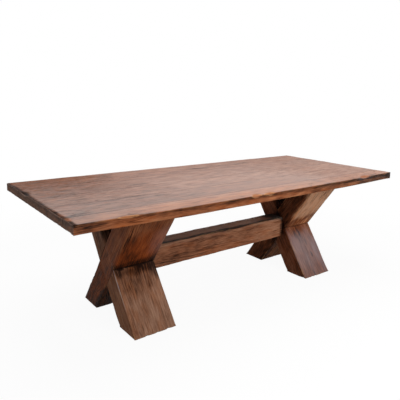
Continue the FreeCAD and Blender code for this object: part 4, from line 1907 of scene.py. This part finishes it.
@dataclass
class Stretcher:
    """The hewn beam between the crossings, with its tenons and nut pockets.

    Attributes:
        tenon_width: a tenon's width.
        tenon_height: a tenon's height.
        tenon_length: a tenon's length.
        pocket_setback: how far a nut pocket's wall lies from the shoulder.
        pocket_length: a pocket's length along the beam.
        pocket_half_width: half its width, and its height over the beam's middle.
        arris_radius: how far the long arrises are worn round.
        swell: how far the hewn faces stand out past the straight beam at most.
        scallop: the length of one stroke of the hewing.
        layer: how deep the layer is that sinks with the surface.
        step: the usual gap between lattice planes.
    """

    tenon_width: float = 0.06
    tenon_height: float = 0.08
    tenon_length: float = 0.045
    pocket_setback: float = 0.07
    pocket_length: float = 0.044
    pocket_half_width: float = 0.022
    arris_radius: float = 0.006
    swell: float = 0.0045
    scallop: float = 0.085
    layer: float = 0.016
    step: float = 0.008

    def __post_init__(self) -> None:
        """Reads the beam's box and lays out its shoulders and its hollow."""
        self.box_low, self.box_high = (np.array(corner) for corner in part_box("stretcher"))
        self.shoulder = self.box_high[0] - self.tenon_length
        self.low = np.array([-self.shoulder, *self.box_low[1:]])
        self.high = np.array([self.shoulder, *self.box_high[1:]])
        self.middle = (self.low[2] + self.high[2]) / 2
        arris = (0.055, self.low[1], self.high[2])
        self.hollow = Hollow(arris, (0.0, -1.0, 0.0), 0.33, 0.012, 74, 45.0)

    def cells(self) -> Lattice:
        """Lays out the beam's cells.

        Returns:
            Its lattice, without the nut pockets and with only the tenons past the shoulders.
        """
        low, high, middle, shoulder = self.low, self.high, self.middle, self.shoulder
        wall = shoulder - self.pocket_setback
        back = wall - self.pocket_length
        half_y, half_z, pocket = self.tenon_width / 2, self.tenon_height / 2, self.pocket_half_width
        near = np.array([0, 1.5, 3.2, 5.2, 7.6, 10.5, 14, 19]) / 1000
        lattice = Lattice((
            planes(self.box_low[0], self.box_high[0], self.step, near, False, False,
                   (-shoulder, shoulder, -wall, wall, -back, back)),
            planes(low[1], high[1], self.step, near, extra=(-half_y, half_y, -pocket, pocket)),
            planes(low[2], high[2], self.step, near, extra=(middle - half_z, middle + half_z,
                                                            middle + pocket))))
        beam = lattice.within((-shoulder, -NO_LIMIT, -NO_LIMIT), (shoulder, NO_LIMIT, NO_LIMIT))
        lattice.filled = beam | lattice.within((-NO_LIMIT, -half_y, middle - half_z),
                                               (NO_LIMIT, half_y, middle + half_z))
        for start, end in ((back, wall), (-wall, -back)):
            lattice.carve((start, -pocket, -NO_LIMIT), (end, pocket, middle + pocket))
        return lattice

    def surface(self) -> Skin:
        """Builds the beam.

        Its arrises are rounded, its faces sink by a hewn random field with the scallops of
        long strokes, and the long hollow of its upper front arris is taken out.

        Returns:
            Its surface with the values that its finish reads.
        """
        skin = self.cells().skin()
        block = Block(self.low, self.high, skin.points)
        square = block.square
        radius = self.arris_radius * (1 + 0.45 * rough_noise(square, (7, 7, 7), 71, 3))
        low_right = (smooth_step(square[:, 0], self.shoulder - 0.13, self.shoulder - 0.01)
                     * (square[:, 2] < self.middle))
        block.ease((1, 2), radius + 0.006 * low_right)
        hewn = np.maximum(rough_noise(square, (6, 9, 9), 72, 3) + 0.75, 0)
        strokes = np.abs(np.sin(square[:, 0] * math.pi / self.scallop
                                + 3 * rough_noise(square, (4, 4, 4), 73, 2)))
        end = smooth_step(self.shoulder - np.abs(square[:, 0]), 0.0, 0.01)
        depth = (0.0016 * hewn + 0.0008 * strokes - self.swell) * end
        block.sink(depth, self.layer, ((1, 0, 0), (1, 0, 0)))
        points, _ = self.hollow.cut(block.points)
        return Skin(points, skin.quads, self._values(block))

    def _values(self, block: Block) -> dict[str, Array]:
        """The values that the finish reads.

        Args:
            block: the beam.

        Returns:
            The distances to the nearest arris and joint, and the shares of end grain, raw
            wood, dust, stain, glow and wax. No hollow is bare.
        """
        square, count = block.square, len(block.square)
        front, top, middle, shoulder = self.low[1], self.high[2], self.middle, self.shoulder
        under = self.low[2]
        _, to_y, to_z = block.to_faces()
        on_front = [(0.46, middle, 0.26, 0.2, 0.16), (-0.42, under + 0.03, 0.14, 0.06, -0.13)]
        # On the top, the row at the shoulder is painted shade where the beam meets the trestle.
        on_top = [(0.0, EVERYWHERE, 0.03, 0.16), (shoulder, 0.14, 0.02, -0.45),
                  (0.18, 0.14, 0.02, 0.14), (-0.5, 0.15, 0.03, -0.06), (0.58, 0.26, 0.02, -0.28)]
        # Painted shade: darker along the upper front arris and over its hollow, and at the right
        # shoulder where the beam meets the trestle.
        painted_shade_on_arrises = [
            Patch((shoulder, front, middle), (0.04, 0.05, 0.2), -0.45),
            Patch((shoulder, front, top), (0.07, 0.05, 0.04), -0.3),
            Patch((0.0, front + 0.004, top), (EVERYWHERE, 0.026, 0.006), -0.48),
            Patch((0.0, front, top), (0.55, 0.006, 0.006), -0.2),
            Patch((0.055, front, top), (0.17, 0.02, 0.02), -0.2)]
        glowing = [(-0.35, middle, 0.35, 0.12, 0.18), (0.1, middle, 0.4, 0.12, 0.1),
                   (0.0, under, 0.3, 0.06, 0.3)]
        # The stain patches also carry the painted shade at the shoulder on the top.
        stain, glow = ([Patch((x, front, z), (wide, 0.03, high), amount)
                        for x, z, wide, high, amount in rows] for rows in (on_front, glowing))
        stain += [Patch((x, 0.0, top), (wide, EVERYWHERE, depth), amount)
                  for x, wide, depth, amount in on_top]
        dust = [Patch((0.0, 0.0, top), (EVERYWHERE, EVERYWHERE, 0.03), 0.22)]
        return {
            "arris": arris_distance(to_y, to_z, np.full(count, FAR_AWAY)),
            "joint": np.abs(shoulder - np.abs(square[:, 0])) + 0.001,
            "end": smooth_step(self.box_high[0] - np.abs(square[:, 0]), 0.003, 0.0),
            "bare": np.zeros(count), "raw": np.full(count, 0.4), "polish": np.full(count, 0.05),
            "dust": patched(square, dust), "glow": patched(square, glow),
            "tone": patched(square, stain + painted_shade_on_arrises)}

    def build(self) -> None:
        """Builds the beam."""
        finish = StainedTimber(
            "stained_stretcher", Grain(41, heart=(-0.3, 0.02)), body=(0.27, 0.112, 0.059),
            light=(0.465, 0.222, 0.126), haze=(0.255, 0.215, 0.19), contrast=0.44, wear=0.3)
        set_up_piece(self.surface(), "stretcher", finish, Slot.TRESTLE)


@dataclass
class Fasteners:
    """The screws, bolts, nuts and washers, all out of sight.

    Attributes:
        groups: the construction nodes, one for each kind.
    """

    groups: tuple[str, ...] = (
        "stretcher_hanger_bolts", "stretcher_washers", "stretcher_nuts", "lap_screws",
        "bearer_lag_screws", "bearer_lag_washers", "top_screws", "top_screw_washers")

    def build(self) -> None:
        """Gives every kind its finish."""
        dress_nodes(list(self.groups), ZincSteel("zinc_steel"))


@dataclass
class Studio:
    """The pale floor, the soft light and the camera.

    Attributes:
        target: the point that the camera looks at.
        distance: how far it stands from there.
        azimuth: its angle round the table in degrees, 0 at the front.
        elevation: its angle over the horizon in degrees.
        roll: its turn about its own axis in degrees.
        lens: its focal length in millimetres.
        floor_radius: how far the floor reaches.
        floor_drop: how far it lies under the soles, so that they don't touch it.
        world_strength: the strength of the all-round light.
        shadow_grey: the floor's colour for the light that it throws back.
        pale_grey: its own colour where it is seen.
    """

    target: Triple = (-0.1691, 0.0, 0.6258)
    distance: float = 2.8517
    azimuth: float = -37.7
    elevation: float = 13.718
    roll: float = 1.252
    lens: float = 39.527
    floor_radius: float = 14.0
    floor_drop: float = 0.0008
    world_strength: float = 0.28
    shadow_grey: tuple[float, float, float, float] = (0.36, 0.35, 0.34, 1.0)
    pale_grey: tuple[float, float, float, float] = (0.92, 0.92, 0.92, 1.0)

    def build(self) -> None:
        """Builds the floor, lamps, world and camera."""
        self._floor()
        self._world()
        self._lamp("key", (0.6, -3.8, 2.3), (0.1, 0.0, 0.45), 2.2, 92.0)
        self._lamp("fill", (-3.4, -2.2, 1.9), (0.0, 0.0, 0.5), 2.6, 12.0)
        self._lamp("overhead", (0.0, 0.3, 3.6), (0.0, 0.0, 0.7), 3.0, 88.0)
        self._camera()
        bpy.context.scene.view_settings.view_transform = "Standard"

    def _floor(self) -> None:
        """Builds the floor: rings of points round the origin, the radius times cosine and sine."""
        radii = np.linspace(0.05, self.floor_radius, 24)
        angles = np.linspace(0, 2 * math.pi, 48, endpoint=False)
        radius, angle = np.meshgrid(radii, angles, indexing="ij")
        points = np.stack([radius * np.cos(angle), radius * np.sin(angle),
                           np.full_like(radius, -self.floor_drop)], -1).reshape(-1, 3)
        width = len(angles)
        ring, turn = np.meshgrid(np.arange(len(radii) - 1), np.arange(width), indexing="ij")
        after = (turn + 1) % width
        quads = np.stack([ring * width + turn, (ring + 1) * width + turn,
                          (ring + 1) * width + after, ring * width + after], -1).reshape(-1, 4)
        mesh = bpy.data.meshes.new("floor")
        mesh.from_pydata(points.tolist(), [], quads.tolist() + [list(range(width))])
        mesh.materials.append(self._floor_material())
        floor = bpy.data.objects.new("floor", mesh)
        bpy.context.scene.collection.objects.link(floor)

    def _floor_material(self) -> bpy.types.Material:
        """Builds the floor's material.

        Returns:
            A material that is mostly white where it is seen, with the table's shadow on it.
        """
        made, work = new_material("pale_floor")
        away = work.length(work.add("ShaderNodeTexCoord").outputs["Object"])
        grey = work.add("ShaderNodeBsdfDiffuse", {}, {"Color": self.shadow_grey})
        pale = work.add("ShaderNodeBsdfDiffuse", {}, {"Color": self.pale_grey})
        white = work.add("ShaderNodeEmission", {}, {"Color": (1.0, 1.0, 1.0, 1.0), "Strength": 1.0})
        shown = work.either(pale, white, 0.94 + away.rise(1.6, 3.0) * 0.06)
        surface = work.either(grey, shown, work.seen())
        work.add("ShaderNodeOutputMaterial", {}, {"Surface": surface.outputs[0]})
        return made

    def _world(self) -> None:
        """Makes a soft all-round light that is white where it is seen or mirrored."""
        world = bpy.data.worlds.new("studio")
        world.use_nodes = True
        bpy.context.scene.world = world
        work = NodeWork(world.node_tree)
        soft, white = (
            work.add("ShaderNodeBackground", {}, {"Color": (1.0, 1.0, 1.0, 1.0), "Strength": power})
            for power in (self.world_strength, 1.0))
        both = work.either(soft, white, work.seen())
        work.add("ShaderNodeOutputWorld", {}, {"Surface": both.outputs[0]})

    @staticmethod
    def _lamp(name: str, place: Triple, aim: Triple, size: float, power: float) -> None:
        """Hangs one square soft lamp that no gloss mirrors.

        Args:
            name: its name.
            place: where it hangs.
            aim: the point that it faces.
            size: the length of its sides.
            power: its power in watts.
        """
        data = bpy.data.lights.new(name, "AREA")
        data.shape = "SQUARE"
        data.size = size
        data.energy = power
        lamp = bpy.data.objects.new(name, data)
        lamp.visible_glossy = False
        lamp.location = place
        way = Vector(aim) - Vector(place)
        lamp.rotation_mode = "QUATERNION"
        lamp.rotation_quaternion = way.to_track_quat("-Z", "Y")
        bpy.context.scene.collection.objects.link(lamp)

    def _camera(self) -> None:
        """Sets up the camera from its angles."""
        azimuth, elevation, roll = map(math.radians, (self.azimuth, self.elevation, self.roll))
        back = Vector((math.sin(azimuth) * math.cos(elevation),
                       -math.cos(azimuth) * math.cos(elevation), math.sin(elevation)))
        right = (-back).cross(Vector(UP)).normalized()
        upward = right.cross(-back)
        turned_right = right * math.cos(roll) + upward * math.sin(roll)
        turned_up = upward * math.cos(roll) - right * math.sin(roll)
        data = bpy.data.cameras.new("camera")
        data.lens = self.lens
        data.sensor_width = 36.0
        data.clip_start, data.clip_end = 0.05, 100.0
        camera = bpy.data.objects.new("camera", data)
        turn = Matrix((turned_right, turned_up, back)).transposed().to_4x4()
        turn.translation = Vector(self.target) + back * self.distance
        camera.matrix_world = turn
        bpy.context.scene.collection.objects.link(camera)
        bpy.context.scene.camera = camera


def main() -> None:
    """Builds the table and its studio."""
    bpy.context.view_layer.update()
    TableTop().build()
    for side in Side:
        Trestle(side).build()
    Stretcher().build()
    Fasteners().build()
    Studio().build()


if __name__ == "__main__":
    main()
